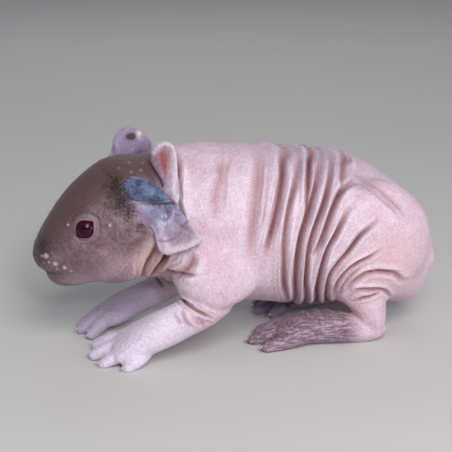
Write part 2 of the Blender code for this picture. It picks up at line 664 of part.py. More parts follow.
def subtract(obj, cutters):
    """The object less every cutter, in one Boolean; the cutters are used up."""
    group = bpy.data.collections.new("cutters")
    for cutter in cutters:
        group.objects.link(cutter)
    cut = obj.modifiers.new("cut", "BOOLEAN")
    cut.operation = "DIFFERENCE"
    cut.operand_type = "COLLECTION"
    cut.collection = group
    cut.solver = "EXACT"
    result = with_modifiers(obj)
    for cutter in cutters:
        bpy.data.objects.remove(cutter)
    bpy.data.collections.remove(group)
    return result


def loose_parts(mesh):
    """The closed surfaces of a mesh, each as a set of face indices."""
    work = bmesh.new()
    work.from_mesh(mesh)
    work.faces.ensure_lookup_table()
    seen = set()
    parts = []
    for face in work.faces:
        if face.index in seen:
            continue
        seen.add(face.index)
        stack, part = [face], set()
        while stack:
            current = stack.pop()
            part.add(current.index)
            for edge in current.edges:
                for other in edge.link_faces:
                    if other.index not in seen:
                        seen.add(other.index)
                        stack.append(other)
        parts.append(part)
    work.free()
    return parts


def only(obj, faces, name):
    """A copy of the object with only the given faces."""
    work = bmesh.new()
    work.from_mesh(obj.data)
    work.faces.ensure_lookup_table()
    gone = [f for f in work.faces if f.index not in faces]
    bmesh.ops.delete(work, geom=gone, context="FACES")
    bmesh.ops.triangulate(work, faces=work.faces)
    bmesh.ops.dissolve_degenerate(work, dist=1e-6, edges=work.edges)
    bmesh.ops.triangulate(work, faces=work.faces)
    data = bpy.data.meshes.new(name)
    work.to_mesh(data)
    work.free()
    return bpy.data.objects.new(name, data)


def volume(obj):
    """The volume inside the object's surface in cubic millimetres."""
    work = bmesh.new()
    work.from_mesh(obj.data)
    total = work.calc_volume(signed=True)
    work.free()
    return total / MM**3


def centre_of(obj):
    """The middle of the object's box in mm."""
    corners = np.array([v.co[:] for v in obj.data.vertices]) / MM
    return (corners.min(axis=0) + corners.max(axis=0)) / 2


def body_pieces(body):
    """The cut body's closed surfaces, each under the name of the nearest place in PIECES."""
    pieces = {}
    for faces in loose_parts(body.data):
        piece = only(body, faces, "piece")
        if len(faces) < SCRAP_FACES or volume(piece) < SCRAP_VOLUME:
            bpy.data.objects.remove(piece)
            continue
        middle = centre_of(piece)
        name = min(PIECES, key=lambda key: np.linalg.norm(middle - PIECES[key]))
        if name in pieces and volume(pieces[name]) > volume(piece):
            bpy.data.objects.remove(piece)
            continue
        if name in pieces:
            bpy.data.objects.remove(pieces[name])
        pieces[name] = piece
    bpy.data.objects.remove(body)
    for name, piece in pieces.items():
        piece.name = name
        piece.data.name = name
    return pieces


def ear_relief(x, z):
    """How far the ear's skin stands out of its plain sheet: a domed fold above a hollow."""
    margin = MARGIN_Z + MARGIN_CURVE * (x - MARGIN_X) ** 2
    dome, hollow = (
        form.rise * np.exp(-((x - form.x) / form.wide) ** 2 - ((z - form.z) / form.high) ** 2)
        for form in (DOME, HOLLOW)
    )
    above = 1 / (1 + np.exp(-(z - margin) / MARGIN_SOFTNESS))
    return dome * above - hollow * (1 - above)


def plain(x, z):
    """No relief."""
    return 0 * x


def leaf(name, outline, centre, thickness, relief, turns=40, rings=7):
    """A thin leaf of skin over an outline of (x, y, z) places, with relief on its outer face."""
    edge = smooth_path(outline + outline[:1], turns + 1)[:-1]
    middle = np.array([centre[0], np.mean(edge[:, 1]), centre[1]])
    mesh = bmesh.new()
    faces_of = []
    for outer in (True, False):
        layer = []
        for r in range(1, rings + 1):
            s = r / rings
            place = middle + (edge - middle) * s
            half = 0.5 * thickness * (0.35 + 0.65 * math.sqrt(max(1 - s**4, 0)))
            if outer:
                place[:, 1] -= half + relief(place[:, 0], place[:, 2]) * min(1, 4 * (1 - s) + 0.25)
            else:
                place[:, 1] += half - relief(place[:, 0], place[:, 2]) * min(1, 4 * (1 - s) + 0.25) * 0.5
            layer.append([mesh.verts.new(Vector(p) * MM) for p in place])
        pole = mesh.verts.new(sum((v.co for v in layer[0]), Vector()) / turns)
        for k in range(turns):
            mesh.faces.new((pole, layer[0][k], layer[0][(k + 1) % turns]))
        for first, second in zip(layer, layer[1:]):
            for k in range(turns):
                mesh.faces.new((first[k], second[k], second[(k + 1) % turns], first[(k + 1) % turns]))
        faces_of.append(layer[-1])
    first, second = faces_of
    for k in range(turns):
        mesh.faces.new((first[k], second[k], second[(k + 1) % turns], first[(k + 1) % turns]))
    return outward(name, mesh)


def largest(obj, name):
    """Only the object's largest closed surface."""
    parts = [only(obj, faces, name) for faces in loose_parts(obj.data)]
    bpy.data.objects.remove(obj)
    parts.sort(key=volume, reverse=True)
    for small in parts[1:]:
        bpy.data.objects.remove(small)
    parts[0].name = name
    parts[0].data.name = name
    return parts[0]


def grown(obj, distance):
    """A copy of the object with its skin moved outward by a distance in mm."""
    copy = bpy.data.objects.new(obj.name + "_grown", obj.data.copy())
    count = len(copy.data.vertices)
    co = np.empty(count * 3)
    copy.data.vertices.foreach_get("co", co)
    normal = np.array([n.vector[:] for n in copy.data.vertex_normals])
    co = co.reshape(-1, 3) + normal * distance * MM
    copy.data.vertices.foreach_set("co", co.ravel())
    return copy


def ear(side, body):
    """An ear of two leaves joined, cut clear of the skin under it."""
    flap, middle = (FLAP_OUTLINE, FLAP_CENTRE) if side < 0 else (RIGHT_FLAP_OUTLINE, RIGHT_FLAP_CENTRE)
    leaves = [
        leaf("pinna", EAR_OUTLINE, EAR_CENTRE, EAR_THICKNESS, ear_relief),
        leaf("flap", flap, middle, EAR_THICKNESS * 1.3, plain),
    ]
    sheet = fuse("ear", leaves, 0.35, 0.3)
    sheet = lightened(sheet, 700)
    if side > 0:
        sheet.data.transform(Matrix.Diagonal((1, -1, 1, 1)))
        sheet.data.flip_normals()
    name = "ear_left" if side < 0 else "ear_right"
    return largest(subtract(sheet, [grown(body, GAP)]), name)


def eye(side):
    """An eyeball."""
    centre = Vector(EYE_CENTRE)
    centre.y *= -side
    return ellipsoid("eye_left" if side < 0 else "eye_right", centre, (EYE_RADIUS,) * 3)


def sockets():
    """The two hollows the eyeballs sit in."""
    hollows = []
    for side in (-1, 1):
        centre = Vector(EYE_CENTRE)
        centre.y *= -side
        hollows.append(ellipsoid("socket", centre, (EYE_RADIUS + GAP,) * 3))
    return hollows


def principled(name, colour, roughness, coat=0.0):
    """A Principled material of one colour."""
    material = bpy.data.materials.new(name)
    material.use_nodes = True
    shader = material.node_tree.nodes["Principled BSDF"]
    shader.inputs["Base Color"].default_value = (*colour, 1)
    shader.inputs["Roughness"].default_value = roughness
    shader.inputs["Coat Weight"].default_value = coat
    return material


def skins():
    """The five materials, by the kind of node each one covers."""
    return {
        "head": principled("face_skin", (0.42, 0.30, 0.29), 0.55),
        "ear": principled("ear_skin", (0.45, 0.42, 0.52), 0.5),
        "eye": principled("eye_gloss", (0.10, 0.005, 0.015), 0.05, 1.0),
        "foot": principled("foot_skin", (0.55, 0.38, 0.38), 0.6),
        "body": principled("body_skin", (0.72, 0.52, 0.53), 0.55),
    }


def kind_of(name):
    """Which of the five materials a node wears, from the first word of its name."""
    return WEARS.get(name.split("_")[0], "body")


def centring(nodes):
    """The move that centres the nodes' common box over the origin, with its underside at Z = 0."""
    corners = np.concatenate([np.array([v.co[:] for v in n.data.vertices]) for n in nodes])
    low, high = corners.min(axis=0), corners.max(axis=0)
    return Vector((-(low[0] + high[0]) / 2, -(low[1] + high[1]) / 2, -low[2]))


def main():
    """Builds every node and gathers them in one collection."""
    for obj in list(bpy.data.objects):
        bpy.data.objects.remove(obj)
    body = fuse("body", body_forms() + limb_forms(), FUSE_VOXEL, BODY_SOFTNESS)
    whole = fuse("whole", [body] + small_forms(), FUSE_VOXEL, FOOT_SOFTNESS)
    sculpt(whole)
    whole = lightened(whole, DECIMATED, fineness(whole))
    ears = [ear(side, whole) for side in (-1, 1)]
    cut = subtract(subtract(whole, body_cutters() + sockets()), ankle_cutters())
    pieces = body_pieces(cut)
    nodes = list(pieces.values()) + ears + [eye(-1), eye(1)]
    parts = bpy.data.collections.new("guinea_pig_pup")
    bpy.context.scene.collection.children.link(parts)
    root = bpy.data.objects.new("rest", None)
    root.location = centring(nodes)
    parts.objects.link(root)
    materials = skins()
    for node in nodes:
        node.data.materials.append(materials[kind_of(node.name)])
        node.parent = root
        parts.objects.link(node)


main()
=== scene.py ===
"""Dressed model of a newborn hairless guinea pig, crouching on all fours with its head low.

Sizes are millimetres in the part's design frame: nose to -X, left side to -Y, soles at Z = 0.
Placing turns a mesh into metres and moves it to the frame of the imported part.
"""
import logging
import math
from dataclasses import dataclass, field
from enum import Enum
from typing import Callable, ClassVar, Iterable, Sequence

import bmesh
import bpy
import numpy as np
from mathutils import Matrix, Vector
from mathutils.kdtree import KDTree


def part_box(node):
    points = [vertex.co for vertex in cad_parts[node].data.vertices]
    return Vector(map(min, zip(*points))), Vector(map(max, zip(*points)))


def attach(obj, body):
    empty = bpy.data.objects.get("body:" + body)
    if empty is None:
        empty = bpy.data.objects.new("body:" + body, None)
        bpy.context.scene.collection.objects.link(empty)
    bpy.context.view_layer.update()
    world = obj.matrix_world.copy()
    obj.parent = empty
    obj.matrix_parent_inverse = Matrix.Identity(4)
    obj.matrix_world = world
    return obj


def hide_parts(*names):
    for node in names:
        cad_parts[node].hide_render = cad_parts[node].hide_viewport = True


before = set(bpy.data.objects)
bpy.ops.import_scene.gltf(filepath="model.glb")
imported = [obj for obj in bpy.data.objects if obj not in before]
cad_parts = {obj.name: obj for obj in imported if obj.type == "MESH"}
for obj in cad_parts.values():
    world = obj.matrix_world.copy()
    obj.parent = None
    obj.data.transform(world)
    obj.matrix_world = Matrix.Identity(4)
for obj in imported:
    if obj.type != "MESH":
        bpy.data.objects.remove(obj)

logging.basicConfig(level=logging.INFO, format="%(message)s")
log = logging.getLogger("guinea_pig_pup")

MM = 0.001
Array = np.ndarray
Point = tuple[float, ...]
Shade = tuple[float, float, float]
Spot = tuple[Point, Point, float]
Line = tuple[Sequence[Point], float, float]


class Side(Enum):
    """The two sides of the body, by the sign of Y."""

    LEFT = -1
    RIGHT = 1

    def mirror(self) -> Array:
        """The factors that take a place on the left side to this side."""
        return np.array([1.0, -self.value, 1.0])


class Mark(Enum):
    """What the skin's masks show: each is a number from 0 to 1 at every point of the skin."""

    HEAD = "head"
    CROWN = "crown"
    # painted shade in the fold valleys and in the slits between toes
    FOLD = "fold"
    WARM = "warm"
    EAR = "ear"
    DOME = "dome"
    POCKET = "pocket"
    FLAP = "flap"
    # the ears' veins, and painted shade in their wrinkles and creases
    VEIN = "vein"
    LID = "lid"
    # painted shade in creases, nostrils, under the ears' domes and in the far ear's hole; also dark temple
    # patches
    DARK = "dark"
    PALE = "pale"
    HAND = "hand"
    HIND = "hind"
    CHIN = "chin"
    # painted highlight on the tops of the fold ridges
    RIDGE = "ridge"
    FLUSH = "flush"
    MAUVE = "mauve"
    # painted shade on the far feet and on the top of the far ear
    FAR = "far"
    EDGE = "edge"


# Shader maths


class Value:
    """One output socket of a node, with the operators that add Math nodes."""

    def __init__(self, graph: "Graph", socket: bpy.types.NodeSocket) -> None:
        """Wraps a socket of a graph."""
        self.graph = graph
        self.socket = socket

    def maths(self, operation: str, first: "Number", second: "Number") -> "Value":
        """A Math node on two numbers."""
        return self.graph.add("ShaderNodeMath", {"operation": operation}, {0: first, 1: second})

    def __add__(self, other: "Number") -> "Value":
        """This plus another."""
        return self.maths("ADD", self, other)

    def __sub__(self, other: "Number") -> "Value":
        """This less another."""
        return self.maths("SUBTRACT", self, other)

    def __rsub__(self, other: float) -> "Value":
        """A number less this."""
        return self.maths("SUBTRACT", other, self)

    def __mul__(self, other: "Number") -> "Value":
        """This times another."""
        return self.maths("MULTIPLY", self, other)

    def between(self, low: float, high: float) -> "Value":
        """0 below low and 1 above high, smooth between."""
        sockets = {"Value": self, "From Min": low, "From Max": high}
        return self.graph.add("ShaderNodeMapRange", {"interpolation_type": "SMOOTHSTEP"}, sockets)


Number = Value | float
Colour = Value | Shade


class Graph:
    """The node tree of one material, built from expressions."""

    def __init__(self, name: str) -> None:
        """Makes an empty material of that name."""
        self.material = bpy.data.materials.new(name)
        self.material.use_nodes = True
        self.tree = self.material.node_tree
        self.tree.nodes.clear()

    def add(self, kind: str, settings: dict | None = None, sockets: dict | None = None,
            outlet: str | int = 0) -> Value:
        """Adds a node.

        Args:
            kind: the node's type.
            settings: its settings, set first.
            sockets: values or links of its inputs, by name or number.
            outlet: which output to wrap.

        Returns:
            The chosen output.
        """
        node = self.tree.nodes.new(kind)
        for key, value in (settings or {}).items():
            setattr(node, key, value)
        for key, value in (sockets or {}).items():
            inlet = node.inputs[key]
            if isinstance(value, Value):
                self.tree.links.new(value.socket, inlet)
            else:
                inlet.default_value = (*value, 1.0) if inlet.type == "RGBA" else value
        return Value(self, node.outputs[outlet])

    def attribute(self, name: str) -> Value:
        """The number of that name on the mesh."""
        settings = {"attribute_name": name, "attribute_type": "GEOMETRY"}
        return self.add("ShaderNodeAttribute", settings, outlet="Fac")

    def mark(self, mark: Mark) -> Value:
        """One of the skin's masks."""
        return self.attribute(mark.value)

    def millimetres(self, stretch: Point = (1.0, 1.0, 1.0)) -> Value:
        """The point's place in millimetres, with each axis multiplied by stretch."""
        place = self.add("ShaderNodeTexCoord", outlet="Object")
        scale = tuple(s / MM for s in stretch)
        return self.add("ShaderNodeVectorMath", {"operation": "MULTIPLY"}, {0: place, 1: scale})

    def noise(self, place: Value, size: float, detail: float = 2.0, rough: float = 0.5) -> Value:
        """Soft noise from 0 to 1 whose blotches are about size millimetres across."""
        sockets = {"Vector": place, "Scale": 1.0 / size, "Detail": detail, "Roughness": rough}
        return self.add("ShaderNodeTexNoise", None, sockets)

    def cells(self, place: Value, size: float) -> Value:
        """Distance from the middle of cells about size millimetres across."""
        return self.add("ShaderNodeTexVoronoi", {"feature": "F1"}, {"Vector": place, "Scale": 1.0 / size})

    def blend(self, amount: Number, first: Colour, second: Colour, mode: str = "MIX") -> Value:
        """The first colour turned into the second by an amount from 0 to 1."""
        settings = {"data_type": "RGBA", "blend_type": mode, "clamp_factor": True}
        return self.add("ShaderNodeMix", settings, {0: amount, 6: first, 7: second}, outlet=2)

    def over(self, base: Colour, *layers: tuple[Mark, Number, Colour]) -> Value:
        """A base with colours laid over it in turn, each by its mask times a strength."""
        for mark, strength, colour in layers:
            base = self.blend(self.mark(mark) * strength, base, colour)
        return base

    def toned(self, colour: Colour, tone: Value) -> Value:
        """A colour made lighter or darker by a tone of about 1."""
        grey = self.add("ShaderNodeCombineColor", None, {0: tone, 1: tone, 2: tone})
        return self.blend(1.0, colour, grey, "MULTIPLY")

    def bump(self, height: Value, depth: float) -> Value:
        """A bumped normal, where a height of 1 stands depth millimetres proud."""
        return self.add("ShaderNodeBump", None, {"Height": height, "Distance": depth * MM, "Strength": 1.0})

    def finish(self, sockets: dict) -> bpy.types.Material:
        """The material, ended in a Principled shader with those values or links."""
        shader = self.add("ShaderNodeBsdfPrincipled", None, sockets)
        output = self.tree.nodes.new("ShaderNodeOutputMaterial")
        self.tree.links.new(shader.socket, output.inputs["Surface"])
        return self.material


# Curves and masks


def smooth_through(places: Array, values: Array, at: Array) -> Array:
    """Values on a smooth curve through knots.

    Args:
        places: where the knots are.
        values: the value at each knot.
        at: where values are wanted.

    Returns:
        The value at each place asked for.
    """
    order = np.argsort(places)
    x, y = np.asarray(places, float)[order], np.asarray(values, float)[order]
    slope = np.gradient(y, x)
    i = np.clip(np.searchsorted(x, at) - 1, 0, len(x) - 2)
    span = x[i + 1] - x[i]
    t = (at - x[i]) / span
    return (
        (2 * t**3 - 3 * t**2 + 1) * y[i]
        + (t**3 - 2 * t**2 + t) * span * slope[i]
        + (3 * t**2 - 2 * t**3) * y[i + 1]
        + (t**3 - t**2) * span * slope[i + 1]
    )


def lengths(knots: Array) -> Array:
    """How far along a path of straight legs each of its places lies."""
    return np.concatenate([[0], np.cumsum(np.linalg.norm(np.diff(knots, axis=0), axis=1))])


def smooth_path(path: Sequence[Point], steps: int = 28) -> Array:
    """A smooth curve through a path's places, as steps points."""
    knots = np.array(path, float)
    along = lengths(knots)
    at = np.linspace(0, along[-1], steps)
    return np.stack([smooth_through(along, column, at) for column in knots.T], axis=1)


def from_path(points: Array, path: Array) -> tuple[Array, Array]:
    """How far points are from a path.

    Args:
        points: the points.
        path: the path's points.

    Returns:
        Each point's distance, and how far along the path it lies, from 0 to 1.
    """
    distance = np.full(len(points), 1e9)
    along = np.zeros(len(points))
    for i in range(len(path) - 1):
        leg = path[i + 1] - path[i]
        t = np.clip((points - path[i]) @ leg / (leg @ leg), 0, 1)
        d = np.linalg.norm(points - path[i] - t[:, None] * leg, axis=1)
        nearer = d < distance
        distance[nearer] = d[nearer]
        along[nearer] = (i + t[nearer]) / (len(path) - 1)
    return distance, along


def step(low: float, high: float, value: Array) -> Array:
    """0 below low and 1 above high, smooth between; low may be the greater."""
    t = np.clip((value - low) / (high - low), 0, 1)
    return t * t * (3 - 2 * t)


def blob(points: Array, centre: Point, radii: Point) -> Array:
    """A soft spot of height 1 round a centre."""
    return np.exp(-(((points - np.array(centre)) / np.array(radii)) ** 2).sum(axis=1))


def spots(points: Array, rows: Iterable[Spot]) -> Array:
    """The greatest of several soft spots, from rows of centre, radii and strength."""
    return np.maximum.reduce([strength * blob(points, centre, radii) for centre, radii, strength in rows])


def lines(points: Array, rows: Iterable[Line]) -> Array:
    """The greatest of several soft lines.

    Args:
        points: the points, in as many axes as the paths.
        rows: each line's path, half width and strength.

    Returns:
        A number for each point.
    """
    greatest = np.zeros(len(points))
    for path, width, strength in rows:
        distance, _ = from_path(points, smooth_path(path))
        greatest = np.maximum(greatest, strength * np.exp(-((distance / width) ** 2)))
    return greatest


def on_left(points: Array) -> Array:
    """Points of both sides brought to the left side."""
    return np.stack([points[:, 0], -np.abs(points[:, 1]), points[:, 2]], axis=1)


def unit(vector: Array) -> Array:
    """A vector made 1 long."""
    return vector / np.linalg.norm(vector)


# Mesh making


def mesh_object(name: str, points: Array, faces: Iterable[Sequence[int]]) -> bpy.types.Object:
    """A mesh object from points in millimetres, not yet in the scene."""
    data = bpy.data.meshes.new(name)
    data.from_pydata((np.asarray(points) * MM).tolist(), [], list(faces))
    return bpy.data.objects.new(name, data)


def coordinates(obj: bpy.types.Object) -> Array:
    """The points of a mesh object in millimetres."""
    co = np.empty(len(obj.data.vertices) * 3)
    obj.data.vertices.foreach_get("co", co)
    return co.reshape(-1, 3) / MM


def closed_mesh(name: str, points: Array, faces: Iterable[Sequence[int]]) -> bpy.types.Object:
    """A mesh object whose faces all point outward."""
    obj = mesh_object(name, points, faces)
    work = bmesh.new()
    work.from_mesh(obj.data)
    bmesh.ops.recalc_face_normals(work, faces=work.faces)
    work.to_mesh(obj.data)
    work.free()
    return obj


def band(first: int, rings: int, sides: int) -> list[tuple[int, ...]]:
    """The faces between rings that follow one another, the first of them starting at a point's number."""
    return [
        (a + k, a + (k + 1) % sides, a + sides + (k + 1) % sides, a + sides + k)
        for a in range(first, first + (rings - 1) * sides, sides)
        for k in range(sides)
    ]


def fan(first: int, sides: int, pole: int) -> list[tuple[int, ...]]:
    """The faces between a ring and one point."""
    return [(first + k, first + (k + 1) % sides, pole) for k in range(sides)]


def closed_rings(name: str, rings: Sequence[Array]) -> bpy.types.Object:
    """A closed mesh through rings of points, each end closed by a fan."""
    count, sides = len(rings), len(rings[0])
    points = np.concatenate([*rings, [np.mean(rings[0], axis=0)], [np.mean(rings[-1], axis=0)]])
    faces = band(0, count, sides) + fan(0, sides, count * sides)
    return closed_mesh(name, points, faces + fan((count - 1) * sides, sides, count * sides + 1))


def tubes(name: str, places: Array) -> bpy.types.Object:
    """One mesh of closed tubes.

    Args:
        name: the object's name.
        places: the points, by tube, ring and place round it.

    Returns:
        The object, not in the scene.
    """
    count, rings, sides = places.shape[:3]
    faces = []
    for first in range(0, count * rings * sides, rings * sides):
        last = first + (rings - 1) * sides
        faces += band(first, rings, sides)
        faces += [tuple(range(first, first + sides)), tuple(reversed(range(last, last + sides)))]
    return closed_mesh(name, places.reshape(-1, 3), faces)


def ellipsoid(centre: Point, radii: Point, tilt: float = 0.0) -> bpy.types.Object:
    """A closed ellipsoid tilted about Y by degrees, nose end down when positive."""
    work = bmesh.new()
    bmesh.ops.create_uvsphere(work, u_segments=32, v_segments=20, radius=1.0)
    place = (
        Matrix.Translation(Vector(centre) * MM)
        @ Matrix.Rotation(math.radians(-tilt), 4, "Y")
        @ Matrix.Diagonal((*(Vector(radii) * MM), 1.0))
    )
    bmesh.ops.transform(work, matrix=place, verts=work.verts)
    data = bpy.data.meshes.new("ellipsoid")
    work.to_mesh(data)
    work.free()
    return bpy.data.objects.new("ellipsoid", data)


def fuse(name: str, forms: Sequence[bpy.types.Object], voxel: float,
         softness: float) -> bpy.types.Object:
    """One closed skin round several forms.

    Args:
        name: the new object's name.
        forms: closed forms, which are used up.
        voxel: the size of the new skin's faces.
        softness: over how many millimetres it is smoothed.

    Returns:
        The fused object, not in the scene.
    """
    joined = bmesh.new()
    for form in forms:
        joined.from_mesh(form.data)
        bpy.data.objects.remove(form)
    data = bpy.data.meshes.new(name)
    joined.to_mesh(data)
    joined.free()
    obj = bpy.data.objects.new(name, data)
    bpy.context.scene.collection.objects.link(obj)
    remesh = obj.modifiers.new("fuse", "REMESH")
    remesh.mode = "VOXEL"
    remesh.voxel_size = voxel * MM
    smooth = obj.modifiers.new("soften", "SMOOTH")
    smooth.factor = 0.5
    smooth.iterations = max(1, round(4 * (softness / voxel) ** 2))
    fused = bpy.data.meshes.new_from_object(obj.evaluated_get(bpy.context.evaluated_depsgraph_get()))
    bpy.data.objects.remove(obj)
    return bpy.data.objects.new(name, fused)


@dataclass(frozen=True)
class Placing:
    """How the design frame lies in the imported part's frame, found from the eyeball's centre."""

    eye_centre: Point = (-42.4, -9.2, 36.2)

    def offset(self) -> Vector:
        """What is added to a place in the design frame, in metres."""
        low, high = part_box("eye_left")
        return (Vector(low) + Vector(high)) / 2 - Vector(self.eye_centre) * MM

    def show(self, obj: bpy.types.Object, material: bpy.types.Material) -> None:
        """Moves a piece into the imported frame, dresses it and lets it ride."""
        obj.data.transform(Matrix.Translation(self.offset()))
        obj.data.materials.clear()
        obj.data.materials.append(material)
        obj.data.polygons.foreach_set("use_smooth", np.ones(len(obj.data.polygons), bool))
        bpy.context.scene.collection.objects.link(obj)
        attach(obj, "root")
        log.info("%s: %d faces", obj.name, len(obj.data.polygons))


# Body forms


def each(kind: type, rows: Iterable[tuple]) -> tuple:
    """An object of a kind for each row of its fields."""
    return tuple(kind(*row) for row in rows)


@dataclass(frozen=True)
class Section:
    """One upright section of the trunk."""

    x: float
    top: float
    bottom: float
    half_width: float


@dataclass(frozen=True)
class Station:
    """A point on a limb's centre line, with the half width across and the half height there."""

    x: float
    y: float
    z: float
    across: float
    high: float

    def moved(self, side: Side, back: float, sink: float = 0.0) -> "Station":
        """This station on a side, moved back and down."""
        return Station(self.x + back, side.value * self.y, self.z - sink, self.across, self.high)


@dataclass(frozen=True)
class Mass:
    """A swelling under the skin: an ellipsoid tilted by degrees, its y counted from the middle."""

    centre: Point
    radii: Point
    tilt: float = 0.0

    def form(self, side: Side = Side.LEFT) -> bpy.types.Object:
        """The swelling on a side."""
        x, y, z = self.centre
        return ellipsoid((x, side.value * y, z), self.radii, self.tilt)


# How far beyond a limb's end each ring of its cap lies and how wide it is, as shares of the end's size
CAP = ((0.35, 0.75), (0.8, 0.45))


def limb(name: str, line: Sequence[Station], sides: int = 24, steps: int = 18) -> bpy.types.Object:
    """A rounded limb through its stations.

    Args:
        name: the object's name.
        line: the stations, root first.
        sides: points round each ring.
        steps: rings along the limb.

    Returns:
        The closed limb.
    """
    knots = np.array([(s.x, s.y, s.z, s.across, s.high) for s in line])
    along = lengths(knots[:, :3])
    at = np.linspace(0, along[-1], steps)
    x, y, z, across, high = (smooth_through(along, column, at) for column in knots.T)
    centres = np.stack([x, y, z], axis=1)
    tangents = np.gradient(centres, at, axis=0)
    tangents /= np.linalg.norm(tangents, axis=1)[:, None]
    angle = np.linspace(0, 2 * math.pi, sides, endpoint=False)

    def ring(i: int, push: float = 0.0, shrink: float = 1.0) -> Array:
        """A ring square to the limb, pushed along it and shrunk."""
        tangent = tangents[i]
        side = unit(np.array([0.0, 1.0, 0.0]) - tangent * tangent[1])
        up = np.cross(tangent, side)
        centre = centres[i] + tangent * push * min(across[i], high[i])
        return centre + shrink * (across[i] * np.outer(np.cos(angle), side)
                                  + high[i] * np.outer(np.sin(angle), up))

    root = [ring(0, -push, shrink) for push, shrink in reversed(CAP)]
    tip = [ring(-1, push, shrink) for push, shrink in CAP]
    return closed_rings(name, [*root, *(ring(i) for i in range(steps)), *tip])


@dataclass
class Trunk:
    """The head, neck and body as one form, with the masses that fill it out."""

    profile: tuple[Section, ...] = each(Section, (
        (55.4, 27.2, 22.4, 4.5), (54.6, 29.2, 17.2, 7.4), (53.0, 31.6, 8.6, 9.6), (51.0, 34.2, 5.2, 11.8),
        (48.8, 36.6, 4.8, 14.2), (45.4, 39.8, 5.0, 17.4), (39.5, 44.0, 6.4, 20.4), (32.0, 48.2, 7.0, 21.2),
        (25.0, 50.0, 7.4, 21.0), (17.5, 51.2, 8.0, 20.5), (10.0, 52.2, 8.8, 20.0), (3.0, 52.9, 10.0, 19.3),
        (-4.0, 53.4, 11.6, 18.3), (-10.0, 54.0, 14.0, 17.3), (-16.0, 53.8, 16.3, 16.2),
        (-21.0, 52.8, 18.0, 15.2), (-26.5, 52.0, 19.4, 14.6), (-32.5, 52.2, 19.6, 14.2),
        (-37.0, 50.7, 19.2, 13.4), (-42.0, 47.2, 18.8, 12.0), (-45.0, 44.6, 19.4, 10.6),
        (-47.6, 41.6, 20.6, 9.1), (-49.8, 38.6, 21.8, 7.8), (-51.5, 36.0, 22.4, 7.0),
        (-53.1, 33.2, 23.4, 5.8), (-54.4, 30.6, 24.6, 4.2), (-55.2, 28.6, 25.8, 2.0),
    ))
    widest: float = 0.44
    step: float = 0.8
    sides: int = 64
    haunch: Mass = Mass((33, 12.5, 26.5), (18, 9.5, 17.5), 8)
    shoulder: Mass = Mass((-9, 9.5, 33), (12, 8.0, 17))
    jowl: Mass = Mass((-34, 6.5, 28.5), (10.5, 7.6, 8.6), 8)
    brow: Mass = Mass((-40.5, 7.2, 37.4), (6.0, 4.2, 5.6), 35)
    whisker_pad: Mass = Mass((-48.8, 3.4, 27.4), (4.6, 4.0, 4.4), 20)
    chin: Mass = Mass((-44.0, 0, 22.6), (8.0, 6.0, 4.6), 8)
    tail_nub: Mass = Mass((55.8, 0, 16.4), (2.9, 3.0, 4.8))

    def barrel(self) -> bpy.types.Object:
        """The form through the upright sections."""
        knots = np.array([(s.x, s.top, s.bottom, s.half_width) for s in self.profile])
        x = np.arange(knots[-1, 0], knots[0, 0] + self.step / 2, self.step)
        top, bottom, half = (smooth_through(knots[:, 0], knots[:, c], x) for c in (1, 2, 3))
        middle = bottom + self.widest * (top - bottom)
        angle = np.linspace(0, 2 * math.pi, self.sides, endpoint=False)
        rings = []
        for i in range(len(x)):
            high = np.where(np.sin(angle) > 0, top[i] - middle[i], middle[i] - bottom[i])
            across = half[i] * np.cos(angle)
            rings.append(np.stack([np.full(self.sides, x[i]), across, middle[i] + high * np.sin(angle)], 1))
        return closed_rings("trunk", rings)

    def forms(self) -> list[bpy.types.Object]:
        """The barrel and the masses on it, except the tail's nub."""
        paired = (self.haunch, self.shoulder, self.jowl, self.brow, self.whisker_pad)
        sides = [mass.form(side) for side in Side for mass in paired]
        return [self.barrel(), *sides, self.chin.form()]


@dataclass(frozen=True)
class Claw:
    """A curved, tapering claw; its droop is a share of its length, and width and height of its radius."""

    length: float
    radius: float
    root_ahead: float = 0.7
    root_above: float = 0.55
    slope: float = 0.25
    droop: float = 0.42
    arch: float = 0.25
    width: float = 0.8
    height: float = 1.05
    lowest: float = 0.06
    rings: int = 9
    sides: int = 12

    def places(self, toe: Array) -> Array:
        """The claw's points.

        Args:
            toe: the centre line of the toe that it grows from.

        Returns:
            The points, by ring and place round it.
        """
        ahead = unit((toe[-1] - toe[-2]) * (1, 1, self.slope))
        across = unit(np.cross(ahead, (0, 0, 1)))
        t = np.linspace(0, 1, self.rings)
        angle = np.linspace(0, 2 * math.pi, self.sides, endpoint=False)
        centre = toe[-1] + ahead * self.root_ahead + np.outer(self.length * t, ahead)
        centre[:, 2] += self.root_above + self.arch * t - self.length * self.droop * t**1.8
        radius = self.radius * (1 - t) ** 0.6 * (1 - 0.15 * t) + 0.04
        out = self.width * np.outer(np.cos(angle), across)
        out += self.height * np.outer(np.sin(angle), (0, 0, 1))
        places = centre[:, None] + radius[:, None, None] * out
        places[..., 2] = np.maximum(places[..., 2], self.lowest)
        return places


